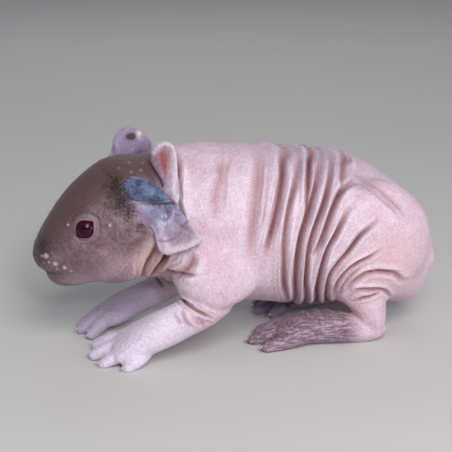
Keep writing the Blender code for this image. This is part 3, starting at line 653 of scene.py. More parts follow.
@dataclass
class Leg:
    """One leg: its upper form, the foot with its toes, and its claws; y is counted from the middle."""

    side: Side
    back: float
    upper: tuple[Station, ...]
    sole: tuple[Station, ...]
    toes: tuple[tuple[Station, ...], ...]
    mark: Mark
    claw: Claw
    sink: float = 0.5

    def upper_form(self) -> bpy.types.Object:
        """The leg above the foot; its lower end leans back with the foot."""
        high, low = self.upper[0].z, self.upper[-1].z
        leans = [self.back * (high - s.z) / (high - low) for s in self.upper]
        return limb("upper", [s.moved(self.side, lean) for s, lean in zip(self.upper, leans)])

    def placed(self, line: Sequence[Station]) -> list[Station]:
        """One of the foot's lines where this foot stands."""
        return [s.moved(self.side, self.back, self.sink) for s in line]

    def foot_forms(self) -> list[bpy.types.Object]:
        """The foot and its toes."""
        toes = [limb("toe", self.placed(toe), 16, 10) for toe in self.toes]
        return [limb("sole", self.placed(self.sole)), *toes]

    def centre_line(self, line: Sequence[Station]) -> Array:
        """The places of one of the foot's lines where this foot stands."""
        return np.array([(s.x, s.y, s.z) for s in self.placed(line)])

    def claws(self) -> Array:
        """The points of this foot's claws, by claw, ring and place round it."""
        return np.array([self.claw.places(self.centre_line(toe)) for toe in self.toes])


def fore_leg(side: Side) -> Leg:
    """A foreleg; the right forearm lies lower than the left one.

    Args:
        side: which side it is on.

    Returns:
        The leg.
    """
    left = (
        (-8.0, 15.0, 15.5, 3.4, 3.4), (-13.0, 15.8, 14.0, 4.4, 4.6), (-18.5, 16.2, 12.2, 4.5, 4.9),
        (-24.0, 16.0, 9.9, 4.8, 5.0), (-28.5, 14.8, 7.6, 5.8, 4.5), (-32.5, 12.9, 5.4, 6.8, 3.6),
        (-35.5, 11.8, 3.8, 6.6, 2.6),
    )
    right = (
        (-8.0, 15.0, 14.5, 3.4, 3.4), (-13.0, 15.8, 11.6, 4.2, 4.2), (-18.5, 16.2, 8.9, 4.4, 4.2),
        (-24.0, 16.0, 6.9, 4.8, 4.0), (-28.5, 14.8, 5.6, 5.8, 3.7), (-32.5, 12.9, 4.5, 6.8, 3.1),
        (-35.5, 11.8, 3.6, 6.6, 2.5),
    )
    return Leg(
        side, 0.0, each(Station, (
            (-7.0, 9.0, 34.0, 6.0, 11.0), (-8.6, 12.5, 27.5, 6.5, 11.8), (-9.8, 14.1, 21.5, 7.0, 12.2),
            (-10.4, 15.1, 17.4, 6.3, 9.8), (-10.6, 15.5, 14.4, 4.8, 5.6), (-10.4, 15.6, 12.8, 2.4, 2.8),
        )),
        each(Station, left if side is Side.LEFT else right),
        tuple(each(Station, toe) for toe in (
            ((-28.0, 15.6, 4.8, 1.8, 1.8), (-32.2, 18.4, 2.8, 2.1, 2.1), (-35.2, 19.3, 1.3, 1.6, 1.4)),
            ((-31.5, 14.0, 4.8, 1.9, 2.0), (-37.0, 15.2, 3.0, 1.9, 1.9), (-40.6, 14.9, 1.4, 1.5, 1.4)),
            ((-32.5, 11.6, 5.0, 1.9, 2.0), (-38.4, 10.6, 3.4, 1.9, 2.0), (-42.0, 9.6, 1.7, 1.5, 1.5)),
            ((-31.0, 9.6, 5.6, 1.8, 2.0), (-37.0, 6.0, 4.0, 1.8, 2.0), (-40.2, 4.0, 2.0, 1.4, 1.6)),
        )),
        Mark.HAND, Claw(length=1.1, radius=0.34),
    )


def hind_leg(side: Side) -> Leg:
    """A hind leg; the right one stands further back.

    Args:
        side: which side it is on.

    Returns:
        The leg.
    """
    back = 0.0 if side is Side.LEFT else 8.0
    return Leg(
        side, back, each(Station, (
            (27.0, 14.0, 24.0, 7.0, 9.0), (30.0, 15.5, 16.0, 5.5, 7.0), (32.0, 16.5, 10.5, 4.6, 5.0),
            (33.2, 16.6, 6.5, 4.0, 4.2), (34.0, 16.3, 3.6, 3.4, 3.0),
        )),
        each(Station, (
            (35.2, 16.0, 3.4, 3.2, 2.8), (32.0, 15.9, 3.9, 3.9, 3.8), (25.5, 15.0, 4.4, 4.4, 4.2),
            (17.5, 13.6, 4.7, 4.9, 4.2), (12.0, 12.4, 3.8, 5.4, 3.4), (8.5, 11.4, 3.0, 5.2, 2.4),
        )),
        tuple(each(Station, toe) for toe in (
            ((14.0, 16.2, 3.6, 2.2, 2.2), (8.0, 16.8, 2.6, 1.9, 1.9), (3.2, 16.6, 1.4, 1.6, 1.5)),
            ((13.0, 12.2, 4.4, 2.3, 2.4), (6.5, 11.4, 3.2, 2.1, 2.1), (1.2, 10.6, 1.6, 1.6, 1.6)),
            ((14.0, 8.4, 4.6, 2.1, 2.3), (8.5, 6.9, 3.4, 1.9, 2.0), (4.4, 5.6, 1.7, 1.5, 1.6)),
        )),
        Mark.HIND, Claw(length=1.3, radius=0.38),
    )


# Ears


@dataclass
class Ear:
    """One ear: a crumpled leaf with its top folded over as a dome, and an upright flap behind it."""

    side: Side
    outline: tuple[Point, ...] = (
        (-33.4, -7.0, 47.7), (-31.2, -8.2, 48.7), (-28.4, -9.8, 48.9), (-25.2, -12.0, 47.1),
        (-22.9, -14.0, 45.6), (-21.2, -15.5, 44.0), (-19.2, -17.0, 40.6), (-17.7, -18.0, 38.2),
        (-16.1, -18.8, 35.4), (-14.7, -19.0, 32.9), (-17.4, -19.6, 31.7), (-20.9, -20.0, 30.9),
        (-24.7, -20.0, 30.5), (-26.3, -19.0, 31.8), (-26.6, -17.2, 34.2), (-27.3, -14.8, 36.6),
        (-29.2, -13.4, 38.2), (-31.6, -11.8, 41.2), (-33.2, -10.2, 43.6), (-34.2, -8.6, 45.8),
    )
    centre: tuple[float, float] = (-24.6, 40.4)
    near_flap: tuple[Point, ...] = (
        (-25.6, -6.0, 52.6), (-24.6, -6.0, 54.8), (-23.5, -6.5, 56.4), (-21.7, -7.5, 57.2),
        (-19.9, -9.0, 56.7), (-19.3, -10.0, 54.5), (-19.4, -12.4, 49.6), (-19.8, -15.6, 44.0),
        (-20.6, -16.4, 42.0), (-22.6, -15.0, 44.0), (-23.8, -11.4, 48.2), (-25.0, -8.2, 50.6),
    )
    near_centre: tuple[float, float] = (-22.0, 51.5)
    far_flap: tuple[Point, ...] = (
        (-34.8, -7.0, 47.6), (-32.4, -8.6, 51.4), (-30.8, -10.4, 55.2), (-27.4, -11.6, 57.0),
        (-24.8, -11.6, 56.2), (-22.4, -11.0, 54.6), (-20.2, -11.6, 51.4), (-19.4, -14.0, 46.6),
        (-21.0, -15.8, 43.0), (-25.0, -14.4, 43.6), (-29.0, -11.6, 45.0), (-32.0, -8.6, 47.4),
    )
    far_centre: tuple[float, float] = (-26.0, 50.0)
    thickness: float = 1.0
    flap_rim: float = 0.9
    dome_height: float = 2.8
    dome_centre: tuple[float, float] = (-28.0, 45.6)
    dome_radii: tuple[float, float] = (5.0, 3.2)
    margin_height: float = 42.9
    margin_middle: float = -27.0
    pocket_depth: float = 0.9
    pocket_centre: tuple[float, float] = (-24.5, 40.6)
    pocket_radii: tuple[float, float] = (3.6, 2.4)
    turns: int = 96
    rings: int = 26

    def margin(self, x: Array) -> Array:
        """The height of the dome's free lower edge at x."""
        return self.margin_height + (x - self.margin_middle) ** 2 / 60.0

    def relief(self, x: Array, z: Array) -> Array:
        """How far the leaf stands out of its plain sheet: the dome above its free edge, a pocket below."""
        flat = np.stack([x, z], axis=1)
        dome = self.dome_height * blob(flat, self.dome_centre, self.dome_radii)
        pocket = self.pocket_depth * blob(flat, self.pocket_centre, self.pocket_radii)
        above = 1 / (1 + np.exp(-(z - self.margin(x)) / 0.16))
        return dome * above - pocket * (1 - above)

    def leaf(self, outline: Sequence[Point], centre: tuple[float, float], thickness: float,
             rim: float) -> bpy.types.Object:
        """A thin leaf of skin on the left side.

        Args:
            outline: its edge.
            centre: its middle as x and z.
            thickness: how thick it is at the middle.
            rim: how far its edge stands proud; without one it has the dome and pocket.

        Returns:
            The closed leaf.
        """
        turns, rings = self.turns, self.rings
        edge = smooth_path([*outline, outline[0]], turns + 1)[:-1]
        middle = np.array([centre[0], np.mean(edge[:, 1]), centre[1]])
        layers: list[Array] = []
        for outer in (True, False):
            for r in range(1, rings + 1):
                s = r / rings
                place = middle + (edge - middle) * s
                half = 0.5 * thickness * (0.35 + 0.65 * math.sqrt(max(1 - s**4, 0)))
                if rim:
                    rise = np.full(turns, rim * math.exp(-(((s - 0.88) / 0.1) ** 2)))
                else:
                    rise = self.relief(place[:, 0], place[:, 2]) * min(1, 4 * (1 - s) + 0.25)
                place[:, 1] += -half - rise if outer else half - 0.5 * rise
                layers.append(place)
        points = np.concatenate([*layers, [layers[0].mean(axis=0)], [layers[rings].mean(axis=0)]])
        face = rings * turns
        faces = band(0, rings, turns) + band(face, rings, turns)
        faces += fan(0, turns, 2 * face) + fan(face, turns, 2 * face + 1)
        rims = (face - turns, 2 * face - turns)
        for k in range(turns):
            ahead = (k + 1) % turns
            faces.append((rims[0] + k, rims[0] + ahead, rims[1] + ahead, rims[1] + k))
        return closed_mesh("leaf", points, faces)

    def form(self, voxel: float) -> bpy.types.Object:
        """The whole ear on its own side."""
        near = self.side is Side.LEFT
        flap, middle = (self.near_flap, self.near_centre) if near else (self.far_flap, self.far_centre)
        leaves = [
            self.leaf(self.outline, self.centre, self.thickness, 0.0),
            self.leaf(flap, middle, self.thickness * 1.1, self.flap_rim),
        ]
        obj = fuse("ear", leaves, voxel, 0.25)
        if not near:
            obj.data.transform(Matrix.Diagonal((1, -1, 1, 1)))
            obj.data.flip_normals()
        return obj


# Skin


@dataclass(frozen=True)
class Fold:
    """A valley in the skin between two low ridges: its depth, its width and its path.

    Its reach and its ridges' place and width are counted in widths, and each end fades over a share of
    the path.
    """

    depth: float
    width: float
    path: tuple[Point, ...]
    reach: ClassVar[float] = 4.5
    fade: ClassVar[float] = 0.3
    full_depth: ClassVar[float] = 0.9
    ridge_at: ClassVar[float] = 1.6
    ridge_width: ClassVar[float] = 0.9

    def press(self, points: Array, path: Array, lip: float) -> Array:
        """Where this fold moves the skin.

        Args:
            points: the skin's points, in as many axes as the path.
            path: the smooth path.
            lip: how high the ridges are beside a valley of depth 1.

        Returns:
            Three rows: how far each point moves outward, and how deep in the valley and how high on a
            ridge it lies, from 0 to 1.
        """
        rows = np.zeros((3, len(points)))
        reach = self.reach * self.width
        low, high = path.min(axis=0) - reach, path.max(axis=0) + reach
        near = np.flatnonzero(((points > low) & (points < high)).all(axis=1))
        if len(near) == 0:
            return rows
        distance, along = from_path(points[near], path)
        ends = step(0, self.fade, np.minimum(along, 1 - along))
        soft = np.sqrt(distance**2 + 0.04) - 0.2
        narrow = np.exp(-((distance / (0.75 * self.width)) ** 2))
        valley = 0.5 * narrow + 0.5 * np.exp(-soft / (0.45 * self.width))
        ridge = np.exp(-(((distance - self.ridge_at * self.width) / (self.ridge_width * self.width)) ** 2))
        strength = ends * min(1.0, self.depth / self.full_depth)
        rows[0, near] = self.depth * ends * (lip * ridge - valley)
        # the valley row is painted on the skin as shade, the ridge row as highlight
        rows[1, near] = strength * (0.6 * narrow + 0.4 * np.exp(-soft / (0.6 * self.width)))
        rows[2, near] = strength * ridge
        return rows


@dataclass
class Flanks:
    """The folds of loose skin over both sides, as places of x and z."""

    main: tuple[Fold, ...] = each(Fold, (
        (0.3, 2.0, ((-4.1, 52.7), (-7.4, 49.3), (-10.0, 42.8), (-11.5, 36.0))),
        (0.45, 1.7, ((5.6, 54.0), (2.8, 48.9), (1.0, 44.3), (-0.3, 39.3), (-1.7, 32.2), (-2.1, 26.2))),
        (0.95, 1.1, ((14.5, 54.5), (13.3, 51.9), (10.1, 50.0), (8.5, 46.8), (7.2, 43.9), (5.7, 40.0),
            (4.4, 36.4), (3.3, 33.0), (2.3, 29.3), (1.6, 25.0))),
        (0.8, 0.9, ((18.2, 54.0), (17.1, 51.4), (14.3, 49.1), (11.8, 45.3), (9.5, 41.4), (8.0, 37.2),
            (7.0, 31.7), (6.9, 25.7), (7.9, 18.5), (11.9, 10.1), (13.6, 5.0))),
        (1.4, 0.9, ((24.6, 53.0), (23.4, 50.4), (20.4, 49.1), (18.6, 46.5), (16.4, 43.2), (14.4, 39.4),
            (12.7, 35.9), (11.5, 33.0), (10.5, 28.3), (10.4, 21.3), (13.6, 9.6), (15.6, 3.0))),
        (0.9, 0.8, ((21.2, 53.5), (20.2, 51.0), (17.3, 49.0), (15.7, 46.3), (14.3, 42.4), (13.1, 38.3),
            (12.2, 35.9))),
        (1.3, 0.75, ((27.8, 52.4), (26.8, 49.7), (24.1, 48.8), (22.1, 46.2), (20.0, 42.9), (18.1, 39.6),
            (16.2, 36.4), (14.5, 33.0), (13.4, 29.4), (13.0, 25.3), (13.2, 19.8), (16.6, 9.6),
            (18.4, 3.0))),
        (0.6, 0.9, ((31.0, 51.5), (29.9, 48.8), (27.4, 48.0), (25.5, 45.9), (24.4, 43.9), (23.4, 42.0))),
        (1.4, 0.8, ((30.6, 43.6), (28.2, 43.9), (25.8, 43.4), (23.6, 42.2), (20.6, 38.6), (18.2, 34.0),
            (16.4, 30.2), (14.6, 27.2), (13.5, 24.1))),
        (1.3, 0.8, ((27.6, 41.0), (25.7, 38.9), (22.8, 35.2), (20.7, 32.0), (18.8, 29.4), (17.8, 26.4),
            (17.0, 21.5), (17.2, 16.0), (20.0, 9.2), (21.6, 4.0))),
        (1.0, 0.7, ((34.6, 37.4), (31.7, 34.8), (27.5, 31.8), (24.3, 27.7), (21.3, 24.1), (19.7, 21.3),
            (19.5, 17.8), (20.6, 13.0), (23.5, 8.6), (25.4, 5.0))),
        (0.7, 0.6, ((34.4, 28.4), (31.8, 26.7), (30.2, 25.9), (26.7, 24.2), (23.4, 21.2), (22.1, 18.2),
            (21.9, 15.3), (24.4, 10.8))),
        (0.6, 0.9, ((44.5, 17.6), (42.5, 17.0), (40.2, 17.6), (37.7, 19.9), (34.2, 21.1), (30.1, 21.3),
            (27.7, 20.0), (25.5, 18.2), (24.1, 15.2), (24.5, 13.0))),
        (0.5, 0.6, ((40.0, 10.6), (37.8, 12.6), (35.2, 15.2), (30.9, 16.3), (27.7, 16.3), (25.8, 14.5),
            (24.9, 12.5))),
        (0.5, 0.5, ((35.0, 14.9), (31.2, 14.7), (27.8, 13.5), (25.5, 12.1))),
        (0.5, 0.5, ((28.4, 23.6), (25.6, 21.0), (23.6, 17.9), (23.3, 15.1), (24.1, 12.3))),
        (0.28, 1.8, ((27.6, 43.8), (30.4, 43.9), (32.8, 42.7), (35.2, 40.8), (38.5, 37.6), (41.2, 33.8))),
        (0.8, 1.1, ((-17.2, 54.0), (-18.7, 49.5), (-19.9, 42.9), (-18.6, 36.0))),
        (0.5, 1.5, ((-30.4, 34.8), (-30.6, 32.8), (-31.5, 30.4), (-32.0, 27.2), (-32.8, 24.5),
            (-33.0, 20.0))),
        (0.9, 0.8, ((-25.2, 33.6), (-25.7, 31.6), (-26.5, 29.1), (-27.5, 27.0), (-28.3, 24.7),
            (-28.8, 20.0))),
        (1.5, 0.8, ((-22.4, 31.0), (-23.1, 28.4), (-23.9, 26.7), (-24.8, 25.1), (-25.6, 23.6),
            (-26.4, 19.5))),
        (0.6, 1.4, ((-16.2, 30.5), (-17.5, 27.2), (-19.2, 25.3), (-20.5, 23.9), (-21.4, 21.0))),
        (0.45, 0.9, ((-24.4, 22.4), (-22.6, 23.4), (-20.6, 24.0), (-18.0, 24.4), (-15.4, 24.2))),
        (0.75, 0.45, ((-23.6, 21.0), (-22.4, 19.6), (-20.4, 17.6), (-17.6, 15.6), (-14.6, 13.8),
            (-11.0, 11.6))),
        (0.4, 0.6, ((-20.6, 15.8), (-20.0, 13.4), (-18.0, 10.0))),
        (0.4, 0.6, ((-17.2, 13.9), (-16.0, 12.2), (-14.2, 10.2))),
    ))
    beside: tuple[float, ...] = (-2.1, -1.3, -0.7, 0.7, 1.4, 2.1)
    seed: int = 3
    depth: float = 1.25
    lip: float = 0.5
    far_drift: float = 1.2
    far_neck_drift: float = 1.5
    neck_before: float = -12.0
    crease_knots: int = 10
    crease_starts: tuple[int, int] = (0, 5)
    crease_ends: tuple[int, int] = (7, 11)
    crease_shift: tuple[float, float] = (0.8, 1.2)
    crease_waver: float = 0.12
    crease_depth: tuple[float, float] = (0.1, 0.26)
    crease_width: tuple[float, float] = (0.35, 0.6)

    def fine(self) -> list[Fold]:
        """Shallow creases that run beside the main folds for part of their length."""
        draw = np.random.default_rng(self.seed)
        creases = []
        for fold in self.main:
            path = smooth_path(fold.path, self.crease_knots)
            for shift in self.beside:
                part = path[draw.integers(*self.crease_starts):draw.integers(*self.crease_ends)]
                part = part + (shift * draw.uniform(*self.crease_shift), 0)
                part += draw.normal(0, self.crease_waver, part.shape)
                depth, width = draw.uniform(*self.crease_depth), draw.uniform(*self.crease_width)
                creases.append(Fold(depth, width, tuple(map(tuple, part))))
        return creases

    def press(self, co: Array, free: Array) -> tuple[Array, Array, Array]:
        """Moves, valley depths and ridges over both sides.

        Args:
            co: the skin's points.
            free: 1 where the skin may fold, and 0 on the ears.

        Returns:
            How far each point moves outward, and how deep in a valley and how high on a ridge it lies.
        """
        move, deep, ridge_highlight = np.zeros((3, len(co)))
        every = [*self.main, *self.fine()]
        for side in Side:
            near = np.flatnonzero(side.value * co[:, 1] >= 0)
            flat = co[near][:, (0, 2)]
            for i, fold in enumerate(every):
                drift = 0.0
                if side is Side.RIGHT:
                    on_neck = fold.path[0][0] < self.neck_before
                    drift = self.far_drift * math.sin(2.3 * i) + self.far_neck_drift * on_neck
                shift, valley, ridge = fold.press(flat - (drift, 0), smooth_path(fold.path), self.lip)
                move[near] += self.depth * shift
                deep[near] = np.maximum(deep[near], valley)
                ridge_highlight[near] = np.maximum(ridge_highlight[near], ridge)
        # the valley depths are painted as shade, and the ridges beside them as highlight
        return move * free, deep * free, ridge_highlight * (1 - deep) * free


@dataclass
class Face:
    """Eyes' lids, nostrils, mouth, follicles, warts and moles."""

    eye_centre: Point = Placing.eye_centre
    eye_radius: float = 3.2
    axis: Point = (-0.404, -0.909, 0.101)
    opening: float = 2.35
    corners: tuple[tuple[float, float, float], ...] = ((-47.0, 0.75, 17.0), (135.0, 0.45, 20.0))
    lid_thickness: float = 0.32
    lid_reach: float = 1.9
    lid_roll: float = 0.12
    lid_edge: float = 0.14
    socket: float = 0.2
    crease_lip: float = 0.12
    behind: float = -24.0
    creases: tuple[Fold, ...] = each(Fold, (
        (0.35, 0.5, ((-46.7, -8.0, 36.6), (-46.2, -7.9, 38.4), (-45.0, -8.6, 39.9), (-42.4, -10.1, 40.7),
                     (-40.6, -11.2, 39.6))),
        (0.3, 0.5, ((-40.0, -12.0, 36.0), (-40.7, -12.2, 34.2), (-43.0, -11.6, 32.4), (-45.4, -10.2, 32.0))),
        (0.9, 0.6, ((-54.2, -1.9, 31.4), (-53.7, -3.4, 30.6), (-53.2, -4.6, 29.9), (-52.7, -5.0, 30.4))),
        (0.55, 0.55, ((-53.8, 0.0, 23.6), (-52.3, -1.9, 23.2), (-50.8, -3.6, 22.9), (-49.2, -4.9, 22.9),
                     (-47.8, -6.2, 23.2))),
        (0.5, 0.55, ((-55.8, 0.0, 28.6), (-55.0, 0.0, 26.0), (-53.6, 0.0, 23.8))),
    ))
    temple: tuple[tuple[Point, float, float], ...] = (
        ((-35.0, -10.0, 46.6), 2.2, 0.9), ((-34.2, -11.8, 43.4), 2.2, 1.0), ((-32.4, -13.2, 40.6), 1.6, 1.0),
        ((-29.8, -14.2, 37.2), 1.2, 0.6),
    )
    # how strongly each crease is painted with shade
    crease_shade: tuple[float, ...] = (0.15, 0.15, 0.5, 0.35, 0.3)
    follicles: tuple[tuple[Point, float], ...] = (
        ((-52.7, -6.0, 28.5), 0.85), ((-50.5, -7.0, 26.5), 0.8), ((-48.3, -7.6, 25.5), 0.75),
        ((-52.0, -6.3, 26.9), 0.4), ((-50.1, -6.3, 24.9), 0.42), ((-46.7, -7.9, 24.5), 0.42),
        ((-53.6, -5.0, 28.3), 0.4), ((-51.4, -6.4, 25.6), 0.32), ((-48.9, -7.0, 24.2), 0.32),
        ((-53.2, -5.0, 26.6), 0.3), ((-49.4, -7.4, 27.4), 0.28), ((-51.2, -6.8, 29.6), 0.26),
    )
    warts: tuple[tuple[Point, float], ...] = (
        ((-39.4, -10.6, 41.8), 0.42), ((-39.1, -11.3, 40.6), 0.34),
        ((-37.7, -11.9, 40.4), 0.36), ((-30.3, -4.7, 51.2), 0.6),
        ((-30.4, -7.5, 49.5), 0.5), ((-26.7, -4.9, 50.9), 0.5), ((-27.7, -7.1, 49.7), 0.5),
        ((-33.2, -5.9, 50.3), 0.45), ((-36.6, -12.2, 39.0), 0.3), ((-38.2, -10.2, 43.4), 0.3),
    )
    moles: tuple[tuple[Point, float], ...] = (((-47.0, -7.8, 36.9), 0.45), ((-37.2, -12.9, 37.4), 0.45))

    def frame_of(self, side: Side) -> tuple[Array, Array, Array, Array]:
        """The eye's centre, its axis, and the directions forward and up across it."""
        mirror = side.mirror()
        axis = unit(np.array(self.axis) * mirror)
        up = unit(np.array([0, 0, 1.0]) - axis * axis[2])
        ahead = np.array([-1.0, 0, 0]) + axis * axis[0]
        ahead = unit(ahead - up * (ahead @ up))
        return np.array(self.eye_centre) * mirror, axis, ahead, up

    def rim(self, angle: Array) -> Array:
        """How far the lid's edge is from the axis, at an angle from forward towards up."""
        radius = np.full(angle.shape, self.opening)
        for degrees, reach, width in self.corners:
            off = (np.degrees(angle) - degrees + 180) % 360 - 180
            radius = radius + reach * np.exp(-((off / width) ** 2))
        return radius

    def lids(self, co: Array, side: Side) -> tuple[Array, Array]:
        """Draws the lids over one eyeball.

        Args:
            co: the skin's points, which are changed in place.
            side: which eye.

        Returns:
            The lid mask and the dark line at the lid's edge.
        """
        centre, axis, ahead, up = self.frame_of(side)
        offset = co - centre
        height = offset @ axis
        u, v = offset @ ahead, offset @ up
        r = np.hypot(u, v)
        rim = self.rim(np.arctan2(v, u))
        near = (height > -1.0) & (r < rim + self.lid_reach + 1.0)
        ball = np.sqrt(np.maximum(self.eye_radius**2 - r**2, 0.0))
        lid = np.sqrt(np.maximum((self.eye_radius + self.lid_thickness) ** 2 - r**2, 0.0))
        roll = self.lid_roll * np.exp(-(((r - rim - 0.35) / 0.3) ** 2))
        inner = ball - 1.1 * step(0.0, 0.35, rim - r) + self.lid_thickness * step(0.12, 0.0, rim - r)
        blend = step(rim + self.lid_reach, rim + 0.5, r)
        over = np.maximum(height * (1 - blend) + (lid + roll) * blend, height - self.socket)
        target = np.where(r > rim, over, inner)
        co += np.where(near, target - height, 0.0)[:, None] * axis
        mask = near * step(rim + 1.5, rim + 0.7, r)
        return mask, near * 0.6 * np.exp(-(((r - rim) / self.lid_edge) ** 2))

    def press(self, co: Array) -> tuple[Array, Array, Array]:
        """Moves for creases, follicles, warts and moles.

        Args:
            co: the skin's points.

        Returns:
            How far each point moves outward, the painted shade in the creases, and the pale bumps.
        """
        move, dark, pale = np.zeros((3, len(co)))
        head = np.flatnonzero(co[:, 0] < self.behind)
        points = co[head]
        bumps = ((self.follicles, 0.5, 0.45), (self.warts, 0.3, 0.12), (self.moles, 0.4, 0.4))
        for side in Side:
            mirror = side.mirror()
            for crease, shading in zip(self.creases, self.crease_shade):
                if side is Side.RIGHT and crease.path[-1][1] == 0:
                    continue
                shift, deep, _ = crease.press(points, smooth_path(crease.path) * mirror, self.crease_lip)
                move[head] += shift
                # painted shade in the creases of lids, nostrils and mouth
                dark[head] = np.maximum(dark[head], deep * shading)
            for places, rise, light in bumps:
                for place, radius in places:
                    distance = np.linalg.norm(points - np.array(place) * mirror, axis=1)
                    bump = step(radius * 1.25, radius * 0.35, distance)
                    move[head] += rise * radius * bump
                    pale[head] = np.maximum(pale[head], light * bump)
        return move, dark, pale


@dataclass(frozen=True)
class SkinFinish:
    """Thin pink skin, grey-brown on the head and blue-grey on the ears."""

    name: str = "hairless_skin"
    light: Shade = (0.67, 0.54, 0.65)
    deep: Shade = (0.57, 0.385, 0.46)
    red: Shade = (0.50, 0.25, 0.29)
    # painted shade: the colour deep in the fold valleys and the slits between toes
    valley: Shade = (0.15, 0.038, 0.045)
    # painted highlight on the fold ridges
    ridge: Shade = (0.80, 0.73, 0.82)
    # painted shade: warmer, darker skin on the sides of the fold valleys
    fold_side_shade: Shade = (0.55, 0.30, 0.29)
    flush: Shade = (0.70, 0.43, 0.44)
    mauve: Shade = (0.34, 0.25, 0.35)
    warm: Shade = (0.54, 0.36, 0.34)
    head: Shade = (0.245, 0.150, 0.178)
    head_dark: Shade = (0.120, 0.068, 0.080)
    head_lilac: Shade = (0.36, 0.26, 0.33)
    crown: Shade = (0.10, 0.055, 0.060)
    ear: Shade = (0.25, 0.17, 0.235)
    ear_pale: Shade = (0.42, 0.36, 0.47)
    dome: Shade = (0.115, 0.155, 0.275)
    dome_dark: Shade = (0.025, 0.034, 0.075)
    pocket: Shade = (0.30, 0.31, 0.52)
    flap: Shade = (0.32, 0.11, 0.12)
    # painted shade on the far feet and the top of the far ear
    far: Shade = (0.28, 0.22, 0.34)
    edge: Shade = (0.72, 0.64, 0.72)
    # the ears' veins, and painted shade in their wrinkles and creases
    vein: Shade = (0.16, 0.07, 0.13)
    lid: Shade = (0.29, 0.19, 0.21)
    # painted shade in creases and hollows, and the colour of the temples' dark patches
    dark: Shade = (0.035, 0.018, 0.018)
    pale: Shade = (0.80, 0.72, 0.74)
    hand: Shade = (0.74, 0.65, 0.80)
    hind: Shade = (0.13, 0.06, 0.09)
    hind_pale: Shade = (0.42, 0.31, 0.41)
    chin: Shade = (0.40, 0.28, 0.33)

    def colour(self, g: Graph) -> Value:
        """The skin's colour.

        Args:
            g: the material's graph.

        Returns:
            The colour, body first, then what its masks lay over it.
        """
        place = g.millimetres()
        broad = g.noise(place, 9.0, 3.0)
        mottle = g.noise(place, 2.6, 4.0, 0.6)
        grain = g.noise(place, 0.55, 3.0, 0.6)
        pink = g.blend((broad - 0.5) * 1.6 + (mottle - 0.5) * 1.8 + 0.45, self.light, self.deep)
        pink = g.blend(g.noise(place, 0.42, 2.0, 0.6).between(0.5, 0.72) * 0.5, pink, self.red)
        streak = g.noise(g.millimetres((0.35, 1.6, 1.6)), 0.9, 3.0, 0.6)
        hind = g.blend((streak - 0.42) * 4.5, self.hind, self.hind_pale)
        pink = g.over(
            pink, (Mark.FLUSH, 0.7, self.flush), (Mark.MAUVE, mottle * 0.7 + 0.5, self.mauve),
            # painted highlight on the fold ridges
            (Mark.RIDGE, 0.55, self.ridge), (Mark.WARM, 0.85, self.warm), (Mark.HAND, 0.8, self.hand),
            (Mark.HIND, 0.92, hind),
        )
        lobe = g.over(
            g.blend((mottle - 0.4) * 2.4, self.ear, self.ear_pale),
            (Mark.FLAP, 1.0, self.flap), (Mark.POCKET, mottle * 0.8 + 0.5, self.pocket),
        )
        blue = g.blend((mottle * 1.4 + grain * 0.6 - 0.72) * 2.6, self.dome_dark, self.dome)
        # painted shade: skin beside the fold valleys turns warmer and darker, less on the head
        beside = g.mark(Mark.FOLD).between(0.0, 0.45) * (0.4 - g.mark(Mark.HEAD) * 0.35)
        skin = g.over(
            pink, (Mark.HEAD, 1.0, self.head_colour(g, place, mottle)), (Mark.LID, 0.7, self.lid),
            # painted shade on the far side
            (Mark.EAR, 1.0, lobe), (Mark.DOME, 0.95, blue), (Mark.FAR, 0.8, self.far),
            # the ears' veins, with painted shade in their wrinkles and creases
            (Mark.EDGE, 0.85, self.edge), (Mark.VEIN, 0.85, self.vein),
        )
        # painted shade in the fold valleys and toe slits, weaker on the head
        skin = g.over(
            g.blend(beside, skin, self.fold_side_shade), (Mark.FOLD, (1 - g.mark(Mark.HEAD) * 0.4) * 0.95, self.valley),
            # painted shade in creases and hollows, with the temples' dark patches
            (Mark.DARK, 1.0, self.dark), (Mark.PALE, 1.0, self.pale),
        )
        return g.toned(skin, (grain - 0.5) * 0.7 + 1.0)

    def head_colour(self, g: Graph, place: Value, mottle: Value) -> Value:
        """The head's colour."""
        spotted = g.noise(place, 1.1, 4.0, 0.65)
        head = g.blend((spotted - 0.32) * 1.8 + (mottle - 0.5) * 1.2, self.head_dark, self.head)
        head = g.blend(g.noise(place, 4.5, 2.0).between(0.48, 0.72) * 0.5, head, self.head_lilac)
        return g.over(head, (Mark.CROWN, 1.0, self.crown), (Mark.CHIN, 0.9, self.chin))

    def relief(self, g: Graph) -> Value:
        """The skin's pores and fine wrinkles.

        Args:
            g: the material's graph.

        Returns:
            The bumped normal.
        """
        place = g.millimetres()
        pores = g.cells(g.millimetres((1.0, 1.0, 0.7)), 0.7)
        fine = g.noise(place, 0.35, 3.0, 0.6)
        wrinkles = g.noise(g.millimetres((1.5, 1.0, 0.28)), 0.8, 3.0, 0.6)
        coarse = g.noise(place, 1.8, 3.0, 0.55)
        body = 1 - g.mark(Mark.HEAD)
        return g.bump(fine * 0.4 + pores * 0.5 + wrinkles * body * 0.5 + coarse * 0.5, 0.24)

    def material(self) -> bpy.types.Material:
        """The finished material."""
        g = Graph(self.name)
        rough = g.noise(g.millimetres(), 0.8, 2.0) * 0.16 + 0.42
        return g.finish({
            "Base Color": self.colour(g),
            "Roughness": rough,
            "Normal": self.relief(g),
            "Subsurface Weight": 0.1,
            "Subsurface Radius": (1.0, 0.42, 0.30),
            "Subsurface Scale": 0.0012,
            "Specular IOR Level": 0.36,
            "Sheen Weight": 0.08,
            "Sheen Roughness": 0.4,
        })


